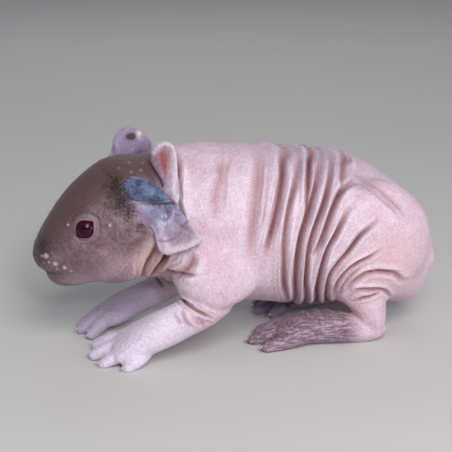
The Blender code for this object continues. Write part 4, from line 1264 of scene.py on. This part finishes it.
@dataclass
class EarMarks:
    """Where the ears' colours lie, written for the left side; lines are places of x and z."""

    ear: Ear
    dome_top: tuple[Point, Point] = (
        (-33.6, -31.0, -27.4, -25.1, -21.8, -20.6), (47.2, 48.4, 48.5, 47.0, 43.9, 42.6),
    )
    # painted shade: the dome's dark blue laid into the ear's hollow under its free edge
    hollow_shade: Spot = ((-24.4, -16.0, 39.9), (2.6, 9.0, 1.9), 1.6)
    pockets: tuple[Spot, ...] = (
        ((-25.8, -15.0, 40.6), (5.4, 9.0, 2.6), 1.8), ((-29.4, -13.0, 40.8), (3.0, 9.0, 2.6), 0.8),
        ((-26.4, -18.0, 36.4), (2.2, 6.0, 3.4), 0.6),
    )
    flap: Spot = ((-22.5, -10.0, 52.6), (1.6, 12.0, 3.0), 1.3)
    # painted shade in the far ear's hole
    hole_shade: Spot = ((-26.3, 54.4), (1.3, 0.8), 2.2)
    pale_lines: tuple[Line, ...] = (
        (((-24.6, 54.4), (-23.3, 56.0), (-21.7, 56.8), (-20.2, 56.2), (-19.6, 53.5), (-20.0, 50.0),
            (-20.6, 46.6), (-20.6, 44.0)), 0.75, 0.9),
        (((-31.4, 43.0), (-29.6, 42.9), (-27.0, 42.7), (-24.0, 43.0), (-22.0, 43.6)), 0.2, 0.6),
        (((-25.4, 38.0), (-25.0, 36.6), (-24.4, 34.6), (-24.0, 32.6)), 0.9, 0.6),
        (((-26.9, 37.0), (-26.2, 34.4), (-25.6, 31.4)), 0.5, 0.5),
        (((-25.6, 41.6), (-24.2, 39.2)), 0.26, 0.6),
        (((-24.3, 41.6), (-23.2, 39.2)), 0.26, 0.6),
        (((-25.2, 38.4), (-23.6, 37.8), (-22.2, 38.6), (-21.4, 40.6)), 0.5, 0.5),
        (((-19.6, 44.0), (-17.6, 40.0), (-15.8, 36.6), (-15.2, 34.0)), 1.1, 0.65),
        (((-24.4, 31.8), (-21.0, 31.9), (-17.6, 32.7), (-15.6, 33.6)), 0.9, 0.6),
    )
    # the ears' veins, and painted shade in their wrinkles and creases
    dark_lines: tuple[Line, ...] = (
        (((-22.0, 41.9), (-22.1, 40.6), (-22.9, 38.8), (-23.4, 37.1), (-24.5, 35.2),
            (-25.6, 34.0)), 0.22, 0.7),
        (((-25.8, 34.1), (-23.7, 33.9), (-22.0, 34.4), (-20.0, 35.6), (-19.4, 37.4), (-18.1, 38.7),
            (-19.3, 40.5), (-20.0, 41.2)), 0.3, 0.9),
        (((-22.0, 40.8), (-20.3, 39.8), (-19.1, 40.5)), 0.2, 0.7),
        (((-26.2, 42.2), (-25.4, 41.1), (-24.6, 39.8)), 0.25, 1.0),
        (((-24.8, 42.4), (-24.2, 41.3), (-23.6, 40.0)), 0.22, 1.0),
        (((-23.5, 42.6), (-23.2, 41.5), (-22.7, 40.2)), 0.22, 0.9),
        (((-28.7, 48.9), (-26.9, 48.2), (-24.9, 46.8), (-22.9, 44.9), (-21.1, 42.9)), 0.3, 0.9),
        (((-33.0, 43.4), (-31.0, 41.4), (-29.0, 39.8), (-27.2, 38.4)), 1.2, 0.8),
        (((-24.2, 50.6), (-23.6, 48.8), (-22.6, 46.8)), 0.6, 0.5),
        (((-25.2, 36.4), (-22.4, 34.7), (-20.2, 36.0)), 0.8, 0.4),
        (((-22.0, 40.0), (-20.6, 37.0), (-19.4, 34.0)), 1.5, 0.3),
    )

    def masks(self, left: Array, right: Array, ear: Array) -> dict[Mark, Array]:
        """The masks that lie on the ears.

        Args:
            left: the points brought to the left side.
            right: which of them came from the right.
            ear: how far each belongs to an ear.

        Returns:
            Each mask's values.
        """
        x, z, flat = left[:, 0], left[:, 2], left[:, (0, 2)]
        margin = self.ear.margin(x)
        dome = step(0.35, -0.35, z - np.interp(x, *self.dome_top)) * step(-0.15, 0.15, z - margin)
        dome *= step(-34.2, -32.4, x) * step(-20.8, -21.6, x) * step(7.0, 8.0, -left[:, 1])
        # painted shade in the hollow under the dome
        dome = np.maximum(dome, np.clip(spots(left, [self.hollow_shade]), 0, 0.8))
        pocket = np.clip(spots(left, self.pockets), 0, 1) * step(0.1, -0.3, z - margin)
        before = (x > -35) & (x < -26) & (z > 36) & (z < 50) & (left[:, 1] < -7)
        near = np.flatnonzero((ear > 0.02) | before)
        edge, vein = np.zeros((2, len(left)))
        edge[near] = lines(flat[near], self.pale_lines)
        vein[near] = lines(flat[near], self.dark_lines)
        shadow = np.exp(-(((z - margin + 0.45) / 0.5) ** 2)) * step(-33.0, -31.5, x) * step(-20.8, -22.0, x)
        hole_shade = np.clip(spots(flat, [self.hole_shade]), 0, 1) * right
        foot = step(0.9, 0.2, np.hypot(x + 31.4, (z - 51.5) * 0.4)) * right
        return {
            Mark.DOME: dome,
            Mark.POCKET: pocket * ear,
            Mark.FLAP: spots(left, [self.flap]) * ~right * (1 - dome) * ear,
            # painted shade on the top of the far ear
            Mark.FAR: step(46.5, 48.5, z) * right * ear * step(-33.6, -31.8, x),
            Mark.EDGE: edge,
            Mark.VEIN: vein,
            # painted shade under the dome's free edge and in the far ear's hole
            Mark.DARK: np.maximum.reduce([0.85 * shadow, 0.92 * hole_shade, 0.5 * foot]) * ear,
        }


@dataclass
class Skin:
    """The whole skin in one piece: body, legs, feet and ears fused, then folded and marked."""

    trunk: Trunk
    legs: tuple[Leg, ...]
    ears: tuple[Ear, ...]
    flanks: Flanks
    face: Face
    finish: SkinFinish
    body_voxel: float = 0.6
    body_softness: float = 1.3
    foot_voxel: float = 0.4
    foot_softness: float = 0.45
    skin_voxel: float = 0.3
    skin_softness: float = 0.25
    ear_voxel: float = 0.28
    eye_reaches: tuple[float, ...] = (5.4, 4.6, 4.0)
    toe_reach: float = 2.9
    sole_reach: float = 6.8
    ear_hollow: Spot = ((-25.6, -15.0, 40.4), (4.4, 8.0, 2.6), 1.8)
    flush: tuple[Spot, ...] = (
        ((37.0, -17.0, 22.0), (9.0, 16.0, 9.0), 0.8), ((26.5, -16.0, 9.5), (3.0, 8.0, 4.5), 1.0),
        ((57.6, 0.0, 16.4), (3.0, 4.5, 6.0), 1.4),
    )
    # darker mauve over the top of the back; the second spot is painted shade in the crease above the haunch
    mauve: tuple[Spot, ...] = (
        ((19.0, -6.0, 50.0), (12.0, 15.0, 6.0), 1.0), ((28.0, -14.0, 44.0), (4.0, 8.0, 2.2), 0.8),
    )
    chin: tuple[Spot, ...] = (
        ((-42.0, -7.5, 21.0), (6.5, 9, 3.4), 1.0), ((-35.5, -14.0, 26.0), (5.0, 9.0, 4.0), 0.7),
    )
    # painted shade round the nostril, and a dark patch at the foot of the near ear's flap
    patches: tuple[Spot, ...] = (
        ((-53.6, -4.0, 31.2), (2.2, 3.4, 3.0), 0.75), ((-22.6, -13.0, 42.6), (1.2, 3.0, 1.6), 0.4),
    )
    nodes: tuple[str, ...] = (
        "head", "neck", "torso", "ear_left", "ear_right", "upper_arm_left", "upper_arm_right",
        "forearm_left", "forearm_right", "forefoot_left", "forefoot_right", "thigh_left", "thigh_right",
        "hindfoot_left", "hindfoot_right",
    )
    points: Array = field(default_factory=lambda: np.zeros((0, 3)))
    normals: Array = field(default_factory=lambda: np.zeros((0, 3)))
    marks: dict[Mark, Array] = field(default_factory=dict)

    def fused(self) -> tuple[bpy.types.Object, KDTree, KDTree]:
        """The plain fused skin.

        Returns:
            The skin, and search trees of the body's and of the ears' points.
        """
        body = fuse("body", self.trunk.forms() + [leg.upper_form() for leg in self.legs],
                    self.body_voxel, self.body_softness)
        feet = [form for leg in self.legs for form in leg.foot_forms()]
        whole = fuse("whole", [body, self.trunk.tail_nub.form(), *feet], self.foot_voxel, self.foot_softness)
        ears = [ear.form(self.ear_voxel) for ear in self.ears]
        trees = (self.tree([whole]), self.tree(ears))
        return fuse("skin", [whole, *ears], self.skin_voxel, self.skin_softness), *trees

    @staticmethod
    def tree(forms: Sequence[bpy.types.Object]) -> KDTree:
        """A search tree of the points of forms near the ears, in millimetres."""
        co = np.concatenate([coordinates(form) for form in forms])
        co = co[(co[:, 0] > -36) & (co[:, 0] < -12) & (co[:, 2] > 28)]
        tree = KDTree(len(co))
        for i, place in enumerate(co):
            tree.insert(place, i)
        tree.balance()
        return tree

    def refine(self, skin: bpy.types.Object) -> None:
        """Divides the skin's faces finer round the eyes and, once, over the muzzle."""
        work = bmesh.new()
        work.from_mesh(skin.data)
        eyes = [Vector(self.face.frame_of(side)[0]) * MM for side in Side]
        for turn, reach in enumerate(self.eye_reaches):
            edges = set()
            for face in work.faces:
                place = face.verts[0].co
                if place.x > -36 * MM or place.z < 18 * MM:
                    continue
                muzzle = turn == 0 and place.x < -45 * MM and place.z < 34 * MM
                if muzzle or min((place - eye).length for eye in eyes) < reach * MM:
                    edges.update(face.edges)
            bmesh.ops.subdivide_edges(work, edges=list(edges), cuts=1, use_grid_fill=True)
        bmesh.ops.triangulate(work, faces=[f for f in work.faces if len(f.verts) > 4])
        work.to_mesh(skin.data)
        work.free()

    def ear_share(self, co: Array, body: KDTree, ears: KDTree) -> Array:
        """How far each point belongs to an ear, from 0 to 1."""
        share = np.zeros(len(co))
        near = np.flatnonzero((co[:, 0] > -35) & (co[:, 0] < -12.5) & (co[:, 2] > 29.5))
        for i in near:
            place = Vector(co[i])
            share[i] = body.find(place)[2] - ears.find(place)[2]
        share[near] = step(-0.05, 0.55, share[near])
        return share

    def build(self, placing: Placing) -> bpy.types.Object:
        """Makes, shapes, marks and dresses the skin.

        Args:
            placing: where it goes.

        Returns:
            The skin, in the scene.
        """
        skin, body, ears = self.fused()
        self.refine(skin)
        co = coordinates(skin)
        normal = np.array([n.vector[:] for n in skin.data.vertex_normals])
        ear = self.ear_share(co, body, ears)
        plain = co.copy()
        move, deep, ridge_highlight = self.flanks.press(co, 1 - ear)
        press, dark, pale = self.face.press(co)
        co += normal * (move + press)[:, None]
        lid, rim = np.zeros((2, len(co)))
        for side in Side:
            mask, edge = self.face.lids(co, side)
            lid, rim = np.maximum(lid, mask), np.maximum(rim, edge)
        co[:, 2] = np.maximum(co[:, 2], 0.0)
        skin.data.vertices.foreach_set("co", (co * MM).ravel())
        skin.data.update()
        self.points = co
        self.normals = np.array([n.vector[:] for n in skin.data.vertex_normals])
        self.marks = self.marked(plain, ear, deep, np.maximum(dark, rim), pale, lid)
        # painted highlight on the fold ridges
        self.marks[Mark.RIDGE] = ridge_highlight
        for mark, values in self.marks.items():
            layer = skin.data.attributes.new(mark.value, "FLOAT", "POINT")
            layer.data.foreach_set("value", np.clip(values, 0, 1).astype(np.float32))
        placing.show(skin, self.finish.material())
        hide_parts(*self.nodes)
        return skin

    def foot_marks(self, co: Array) -> tuple[Array, Array, Array]:
        """Where the feet are.

        Args:
            co: the skin's points.

        Returns:
            The forefeet's mask, the hind feet's, and the painted shade in the slits between toes.
        """
        x, z = co[:, 0], co[:, 2]
        hand, hind, slit_shade = np.zeros((3, len(co)))
        for leg in self.legs:
            near = np.flatnonzero((z < 16) & (co[:, 1] * leg.side.value > 0))
            mark = hind if leg.mark is Mark.HIND else hand
            toes = []
            for line in (*leg.toes, leg.sole):
                distance, _ = from_path(co[near], smooth_path(leg.centre_line(line), 12))
                wide = self.sole_reach if line is leg.sole else self.toe_reach
                mark[near] = np.maximum(mark[near], step(wide + 1.3, wide, distance))
                toes.append(distance)
            first, second = np.sort(toes[:-1], axis=0)[:2]
            between = np.exp(-(((second - first) / 0.9) ** 2))
            slit_shade[near] = between * step(0.8, 1.4, first) * step(3.4, 2.6, first)
        hand *= step(-14, -24, x)
        hind *= step(31, 24, x) * step(11.5, 9.5, z)
        slit_shade *= np.maximum(hand * step(-31, -34, x), hind * step(12.5, 10, x))
        return hand, hind, slit_shade

    def marked(self, co: Array, ear: Array, deep: Array, dark: Array, pale: Array,
               lid: Array) -> dict[Mark, Array]:
        """The masks of colour over the skin.

        Args:
            co: the points before folding.
            ear: how far each belongs to an ear.
            deep: how deep in a fold each lies, which is painted as shade.
            dark: the painted shade in the creases, and the dark lines at the lids' edges.
            pale: the pale bumps.
            lid: the eyes' lids.

        Returns:
            Each mask's values.
        """
        x, z, right, left = co[:, 0], co[:, 2], co[:, 1] > 0, on_left(co)
        rows = np.array([(s.x, s.top) for s in self.trunk.profile])
        top = smooth_through(rows[:, 0], rows[:, 1], np.clip(x, rows[-1, 0], rows[0, 0]))
        ear = np.maximum(ear, np.clip(spots(left, [self.ear_hollow]), 0, 1))
        brown = 0.85 * step(-22.8, -24.0, x) * step(47.6, 49.0, z) * ~right
        brown = np.maximum(brown, 0.75 * step(-31.6, -33.4, x) * step(56.0, 50.0, z) * right * (z > 48))
        outer_ear = ear * (1 - brown)
        nape = -21.5 - 10.0 * step(41, 26, z)
        head = step(nape + 3.0, nape - 4.0, x) * step(13.5, 16.5, z) * (1 - outer_ear)
        neck = step(-33, -29, x) * step(-19.5, -23.5, x) * step(36, 30, z)
        hand, hind, slit_shade = self.foot_marks(co)
        marks = EarMarks(self.ears[0]).masks(left, right, ear)
        # dark temple patches, painted shade round the nostrils, and a dark patch at the near flap's foot
        temple = [(place, (reach, 4, reach + 0.9), 0.88 * share) for place, reach, share in self.face.temple]
        patch = spots(left, [*temple, *self.patches]) * (1 - ear)
        chin = sum(spots(left, [spot]) for spot in self.chin)
        return marks | {
            Mark.HEAD: head,
            Mark.CROWN: step(13, 3, top - z) * step(-20, -26, x),
            # painted shade in the fold valleys and the slits between toes
            Mark.FOLD: np.maximum(deep, slit_shade),
            Mark.WARM: neck * (1 - ear),
            Mark.FLUSH: spots(left, self.flush) * (1 - ear),
            Mark.MAUVE: spots(left, self.mauve) * (1 - ear),
            Mark.EAR: outer_ear,
            # painted shade over the far feet, added to that on the far ear
            Mark.FAR: np.maximum(marks[Mark.FAR], 0.8 * (hand + hind) * right),
            Mark.LID: lid,
            # painted shade in creases and hollows, with the temples' dark patches
            Mark.DARK: np.maximum.reduce([dark, marks[Mark.DARK], patch]),
            Mark.PALE: pale,
            Mark.HAND: hand,
            Mark.HIND: hind,
            Mark.CHIN: chin,
        }


# Eyes and claws


@dataclass(frozen=True)
class EyeFinish:
    """A wet, dark ruby eye."""

    name: str = "ruby_eye"
    pupil: Shade = (0.020, 0.001, 0.009)
    iris: Shade = (0.045, 0.002, 0.018)
    rim: Shade = (0.022, 0.002, 0.008)
    from_axis: str = "from_axis"

    def material(self) -> bpy.types.Material:
        """The finished material, by how far from the axis a point lies in openings of the lids."""
        g = Graph(self.name)
        out = g.attribute(self.from_axis)
        threads = g.noise(g.millimetres(), 0.5, 3.0)
        iris = g.blend((threads - 0.4) * 2.0, self.iris, self.rim)
        colour = g.blend(out.between(0.42, 0.58), self.pupil, iris)
        colour = g.blend(out.between(0.85, 1.15), colour, self.rim)
        return g.finish({"Base Color": colour, "Roughness": 0.1, "Specular IOR Level": 0.18})


@dataclass
class Eye:
    """One eyeball with a slightly bulging cornea."""

    side: Side
    face: Face
    finish: EyeFinish
    bulge: float = 0.18
    behind: float = 3.0

    def build(self, placing: Placing) -> bpy.types.Object:
        """Makes and dresses the eyeball.

        Args:
            placing: where it goes.

        Returns:
            The eyeball, in the scene.
        """
        centre, axis, _, _ = self.face.frame_of(self.side)
        radius = self.face.eye_radius
        ball = ellipsoid(tuple(centre), (radius,) * 3)
        work = bmesh.new()
        work.from_mesh(ball.data)
        bmesh.ops.subdivide_edges(work, edges=work.edges, cuts=2, use_grid_fill=True)
        work.to_mesh(ball.data)
        work.free()
        offset = coordinates(ball) - centre
        offset *= (radius / np.linalg.norm(offset, axis=1))[:, None]
        height = offset @ axis
        out = np.sqrt(np.maximum((offset**2).sum(axis=1) - height**2, 0)) / self.face.opening
        rise = self.bulge * np.exp(-((out / 0.8) ** 2)) * (height > 0)
        co = centre + offset * (1 + rise / radius)[:, None]
        ball.data.vertices.foreach_set("co", (co * MM).ravel())
        layer = ball.data.attributes.new(self.finish.from_axis, "FLOAT", "POINT")
        layer.data.foreach_set("value", np.where(height > 0, out, self.behind).astype(np.float32))
        name = self.side.name.lower()
        ball.name = "eyeball_" + name
        ball.data.update()
        placing.show(ball, self.finish.material())
        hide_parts("eye_" + name)
        return ball


@dataclass(frozen=True)
class ClawFinish:
    """Pale, slightly translucent horn."""

    name: str = "claw_horn"
    root: Shade = (0.52, 0.38, 0.42)
    tip: Shade = (0.60, 0.50, 0.52)

    def material(self) -> bpy.types.Material:
        """The finished material."""
        g = Graph(self.name)
        grain = g.noise(g.millimetres((0.4, 3.0, 3.0)), 0.4, 2.0)
        return g.finish({
            "Base Color": g.blend((grain - 0.3) * 1.8, self.root, self.tip),
            "Roughness": grain * 0.2 + 0.22,
            "Normal": g.bump(grain, 0.02),
            "Subsurface Weight": 0.15,
            "Subsurface Radius": (1.0, 0.6, 0.4),
            "Subsurface Scale": 0.0006,
        })


@dataclass
class Claws:
    """The claws of all four feet as one piece."""

    legs: tuple[Leg, ...]
    finish: ClawFinish

    def build(self, placing: Placing) -> bpy.types.Object:
        """Makes and dresses the claws."""
        claws = tubes("claws", np.concatenate([leg.claws() for leg in self.legs]))
        placing.show(claws, self.finish.material())
        return claws


# Coat


@dataclass(frozen=True)
class HairFinish:
    """Short hair between two colours."""

    name: str
    first: Shade
    second: Shade
    roughness: float = 0.55

    def material(self) -> bpy.types.Material:
        """The finished material."""
        g = Graph(self.name)
        streak = g.noise(g.millimetres(), 0.5, 3.0, 0.7)
        return g.finish({
            "Base Color": g.blend((streak - 0.3) * 2.4, self.first, self.second),
            "Roughness": streak * 0.2 + self.roughness - 0.1,
        })


@dataclass
class Coat:
    """Hair over part of the skin, as thin tufts that taper and lie along it.

    Attributes:
        name: the piece's name.
        finish: its material.
        slot: a material slot's name; not used.
        count: how many tufts.
        length: the shortest and the longest, in millimetres.
        radius: half a tuft's width at its root.
        lift: how steeply it leaves the skin, from 0 to 1.
        weight: the share of tufts at each of the skin's points.
        lie: the way the tufts point.
        axis: the line round which the skin is unwrapped.
        seed: what the random draw starts from.
        scatter: how far a root strays from the skin's point.
        ruffle: how far a tuft strays from the way of the rest.
        bend: how far a tuft curves sideways.
        depth: how deep the root lies in the skin.
        patch: how large a tuft's part of the UV map is.
        rings: how many parts a tuft has along its length.
    """

    name: str
    finish: HairFinish
    slot: str
    count: int
    length: tuple[float, float]
    radius: float
    lift: float
    weight: Callable[[Skin], Array]
    lie: Point
    axis: tuple[Point, ...]
    seed: int
    scatter: float = 0.12
    ruffle: float = 0.22
    bend: float = 0.12
    depth: float = 0.12
    patch: float = 0.003
    rings: int = 3

    def unwrap(self, points: Array) -> Array:
        """Where points lie on the unwrapped skin: along the axis, and round it."""
        line = smooth_path(self.axis, 24)
        _, along = from_path(points, line)
        at = np.linspace(0, 1, len(line))
        y, z = np.interp(along, at, line[:, 1]), np.interp(along, at, line[:, 2])
        angle = np.arctan2(points[:, 2] - z, points[:, 1] - y) / (2 * math.pi) + 0.5
        return np.stack([0.05 + 0.9 * along, 0.05 + 0.9 * angle], axis=1)

    def faces(self) -> Array:
        """The triangles of every tuft, each three-sided and closed at both ends."""
        last = 3 * self.rings
        quads = band(0, self.rings + 1, 3)
        pattern = [corners for a, b, c, d in quads for corners in ((a, b, c), (a, c, d))]
        pattern += [(2, 1, 0), (last, last + 1, last + 2)]
        first = np.arange(self.count) * (last + 3)
        return (np.array(pattern)[None] + first[:, None, None]).reshape(-1, 3)

    def build(self, skin: Skin, placing: Placing) -> bpy.types.Object:
        """Grows the tufts on the finished skin.

        Args:
            skin: the skin, already built.
            placing: where the piece goes.

        Returns:
            The coat, in the scene.
        """
        draw = np.random.default_rng(self.seed)
        weight = np.clip(self.weight(skin), 0, None)
        pick = draw.choice(len(weight), self.count, p=weight / weight.sum())
        normal = skin.normals[pick]
        root = skin.points[pick] + draw.normal(0, self.scatter, (self.count, 3))
        lie = np.array(self.lie) + draw.normal(0, self.ruffle, (self.count, 3))
        lie -= normal * (lie * normal).sum(axis=1)[:, None]
        lie /= np.linalg.norm(lie, axis=1)[:, None] + 1e-9
        across = np.cross(lie, normal)
        long = draw.uniform(*self.length, self.count)
        rise = self.lift * draw.uniform(0.6, 1.3, self.count)
        bend = draw.normal(0, self.bend, self.count)
        home = self.unwrap(root)
        points, patches = [], []
        for t in np.arange(self.rings + 1) / self.rings:
            ahead = (long * t)[:, None]
            height = (long * rise * (t - 0.55 * t * t))[:, None] - self.depth * (1 - t)
            centre = root + lie * ahead + normal * height + across * (ahead * t * bend[:, None])
            thick = self.radius * (1 - t) ** 0.7 + 0.006
            for corner in range(3):
                a = 2 * math.pi * corner / 3
                points.append(centre + thick * (across * math.cos(a) + normal * math.sin(a)))
                patches.append(home + self.patch * np.array([corner / 3 - 0.33, t - 0.5]))
        co = np.stack(points, axis=1).reshape(-1, 3)
        co[:, 2] = np.maximum(co[:, 2], 0.03)
        uv = np.stack(patches, axis=1).reshape(-1, 2)
        faces = self.faces()
        coat = mesh_object(self.name, co, faces.tolist())
        layer = coat.data.uv_layers.new(name="OFBake")
        layer.data.foreach_set("uv", uv[faces.ravel()].ravel())
        placing.show(coat, self.finish.material())
        return coat


def temple(skin: Skin) -> Array:
    """How thick the hair is on the patch in front of the ears."""
    rows = [(place, (reach, 4, reach + 0.8), share) for place, reach, share in skin.face.temple]
    return spots(on_left(skin.points), rows) * (1 - skin.marks[Mark.EAR])


def muzzle(skin: Skin) -> Array:
    """How thick the hair is round the nose and lips."""
    return step(-45, -52, skin.points[:, 0]) * (1 - skin.marks[Mark.LID])


def hands(skin: Skin) -> Array:
    """How thick the hair is on the upper side of the forefeet."""
    return skin.marks[Mark.HAND] * step(-0.2, 0.5, skin.normals[:, 2]) * step(-22, -28, skin.points[:, 0])


def hind_feet(skin: Skin) -> Array:
    """How thick the hair is on the upper side of the hind feet."""
    return skin.marks[Mark.HIND] * step(-0.5, 0.3, skin.normals[:, 2])


@dataclass
class Whiskers:
    """Fine, curved whiskers from the muzzle's follicles, each as long as its follicle is large."""

    face: Face
    finish: HairFinish
    length: float = 2.6
    usual_size: float = 0.62
    radius: float = 0.02
    taper: float = 0.85
    curl: float = 0.35
    rings: int = 9
    sides: int = 5
    seed: int = 5

    def build(self, placing: Placing) -> bpy.types.Object:
        """Makes and dresses the whiskers.

        Args:
            placing: where they go.

        Returns:
            The whiskers, in the scene.
        """
        draw = np.random.default_rng(self.seed)
        t = np.linspace(0, 1, self.rings)
        angle = np.linspace(0, 2 * math.pi, self.sides, endpoint=False)
        out = np.stack([np.cos(angle), 0 * angle, np.sin(angle)], axis=1)
        radius = self.radius * (1 - self.taper * t)
        places = []
        for side in Side:
            for place, size in self.face.follicles:
                way = unit(np.array([0.35 + draw.normal(0, 0.15), side.value, draw.normal(-0.05, 0.2)]))
                back = np.array([1.0, 0.0, draw.normal(-0.25, 0.15)])
                long = self.length * size / self.usual_size * draw.uniform(0.8, 1.15)
                centre = np.array(place) * side.mirror() + np.outer(long * t, way)
                centre += np.outer(long * self.curl * t * t, back)
                places.append(centre[:, None] + radius[:, None, None] * out)
        whiskers = tubes("whiskers", np.array(places))
        placing.show(whiskers, self.finish.material())
        return whiskers


# Studio


@dataclass(frozen=True)
class FloorFinish:
    """Plain pale floor."""

    name: str = "studio_floor"
    shade: Shade = (0.62, 0.61, 0.60)

    def material(self) -> bpy.types.Material:
        """The finished material."""
        g = Graph(self.name)
        cloud = g.noise(g.millimetres(), 60.0, 2.0) * 0.06 + 0.97
        return g.finish({"Base Color": g.toned(self.shade, cloud), "Roughness": 0.85})


@dataclass(frozen=True)
class Lamp:
    """A round soft lamp that faces the model, with its place and size in millimetres."""

    name: str
    place: Point
    size: float
    power: float
    shade: Shade
    aim: Point = (0.0, 0.0, 25.0)

    def build(self) -> None:
        """Hangs the lamp."""
        data = bpy.data.lights.new(self.name, "AREA")
        data.shape = "DISK"
        data.size = self.size * MM
        data.energy = self.power
        data.color = self.shade
        lamp = bpy.data.objects.new(self.name, data)
        lamp.location = Vector(self.place) * MM
        lamp.rotation_euler = (Vector(self.aim) * MM - lamp.location).to_track_quat("-Z", "Y").to_euler()
        bpy.context.scene.collection.objects.link(lamp)


@dataclass
class Studio:
    """The floor, the camera and the soft lights: a large key above, and a small lamp for the eye."""

    finish: FloorFinish
    azimuth: float = -16.0
    elevation: float = 17.0
    lens: float = 100.0
    sensor_width: float = 36.0
    distance: float = 339.0
    target: Point = (-3.1, 0.0, 30.6)
    floor_half: float = 1500.0
    lamps: tuple[Lamp, ...] = each(Lamp, (
        ("key", (-37, -482, 430), 340, 2.5, (1.0, 0.98, 0.97)),
        ("catch", (-53, -532, 273), 60, 0.8, (0.9, 0.94, 1.0)),
        ("fill", (360, -420, 80), 300, 0.7, (1.0, 0.97, 0.98)),
        ("rim", (120, 520, 420), 380, 0.35, (0.96, 0.97, 1.0)),
    ))
    sky: Shade = (0.93, 0.94, 1.0)
    sky_strength: float = 0.29

    def floor(self) -> bpy.types.Object:
        """A wide plain floor."""
        half = self.floor_half
        points = np.array([(-half, -half, 0), (half, -half, 0), (half, half, 0), (-half, half, 0)])
        floor = mesh_object("floor", points, [(0, 1, 2, 3)])
        floor.data.materials.append(self.finish.material())
        bpy.context.scene.collection.objects.link(floor)
        return floor

    def light(self) -> None:
        """The light from all round."""
        world = bpy.data.worlds.new("studio")
        world.use_nodes = True
        background = world.node_tree.nodes["Background"]
        background.inputs["Color"].default_value = (*self.sky, 1.0)
        background.inputs["Strength"].default_value = self.sky_strength
        bpy.context.scene.world = world

    def camera(self, placing: Placing) -> None:
        """The camera at the photograph's viewing angle."""
        a, e = math.radians(self.azimuth), math.radians(self.elevation)
        back = Vector((math.sin(a) * math.cos(e), -math.cos(a) * math.cos(e), math.sin(e)))
        data = bpy.data.cameras.new("camera")
        data.lens = self.lens
        data.sensor_width = self.sensor_width
        data.clip_start, data.clip_end = 0.01, 10.0
        camera = bpy.data.objects.new("camera", data)
        camera.location = Vector(self.target) * MM + placing.offset() + back * self.distance * MM
        camera.rotation_euler = (-back).to_track_quat("-Z", "Y").to_euler()
        bpy.context.scene.collection.objects.link(camera)
        bpy.context.scene.camera = camera

    def build(self, placing: Placing) -> None:
        """Sets up floor, lights, camera and plain colours."""
        self.floor()
        for lamp in self.lamps:
            lamp.build()
        self.light()
        self.camera(placing)
        bpy.context.scene.view_settings.view_transform = "Standard"


def coats(fuzz: HairFinish) -> tuple[Coat, ...]:
    """The hair of the temples, the muzzle and the feet.

    Args:
        fuzz: the muzzle's finish, which the whiskers share.

    Returns:
        The coats, in the order of their seeds.
    """
    back, ahead = (1.0, 0.0, -0.35), (-1.0, 0.0, -0.15)
    head_axis = ((-56.0, 0.0, 27.0), (-40.0, 0.0, 32.0), (-20.0, 0.0, 36.0))
    foot_axis = ((45.0, 0.0, 4.0), (0.0, 0.0, 4.0), (-45.0, 0.0, 4.0))
    dark = HairFinish("dark_hair", (0.020, 0.013, 0.012), (0.075, 0.048, 0.042))
    pale = HairFinish("pale_hair", (0.62, 0.52, 0.58), (0.82, 0.76, 0.82))
    brown = HairFinish("brown_hair", (0.05, 0.025, 0.03), (0.56, 0.46, 0.54), 0.35)
    return (
        Coat("temple_hair", dark, "face_skin", 3400, (0.4, 1.0), 0.045, 0.3, temple, back, head_axis, 11),
        Coat("muzzle_fuzz", fuzz, "face_skin", 2600, (0.35, 0.8), 0.035, 0.6, muzzle, back, head_axis, 12),
        Coat("forefoot_hair", pale, "foot_skin", 2200, (0.8, 1.9), 0.026, 0.12, hands, ahead, foot_axis, 13),
        Coat("hindfoot_hair", brown, "foot_skin", 2600, (1.0, 2.3), 0.03, 0.1, hind_feet, ahead, foot_axis,
             14),
    )


def main() -> None:
    """Builds the model piece by piece."""
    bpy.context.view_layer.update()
    placing = Placing()
    Studio(FloorFinish()).build(placing)
    face = Face()
    legs = (fore_leg(Side.LEFT), fore_leg(Side.RIGHT), hind_leg(Side.LEFT), hind_leg(Side.RIGHT))
    skin = Skin(Trunk(), legs, (Ear(Side.LEFT), Ear(Side.RIGHT)), Flanks(), face, SkinFinish())
    skin.build(placing)
    for side in Side:
        Eye(side, face, EyeFinish()).build(placing)
    Claws(legs, ClawFinish()).build(placing)
    fuzz = HairFinish("muzzle_fuzz", (0.16, 0.11, 0.11), (0.36, 0.29, 0.29))
    for coat in coats(fuzz):
        coat.build(skin, placing)
    Whiskers(face, fuzz).build(placing)
    bpy.context.view_layer.update()


if __name__ == "__main__":
    main()
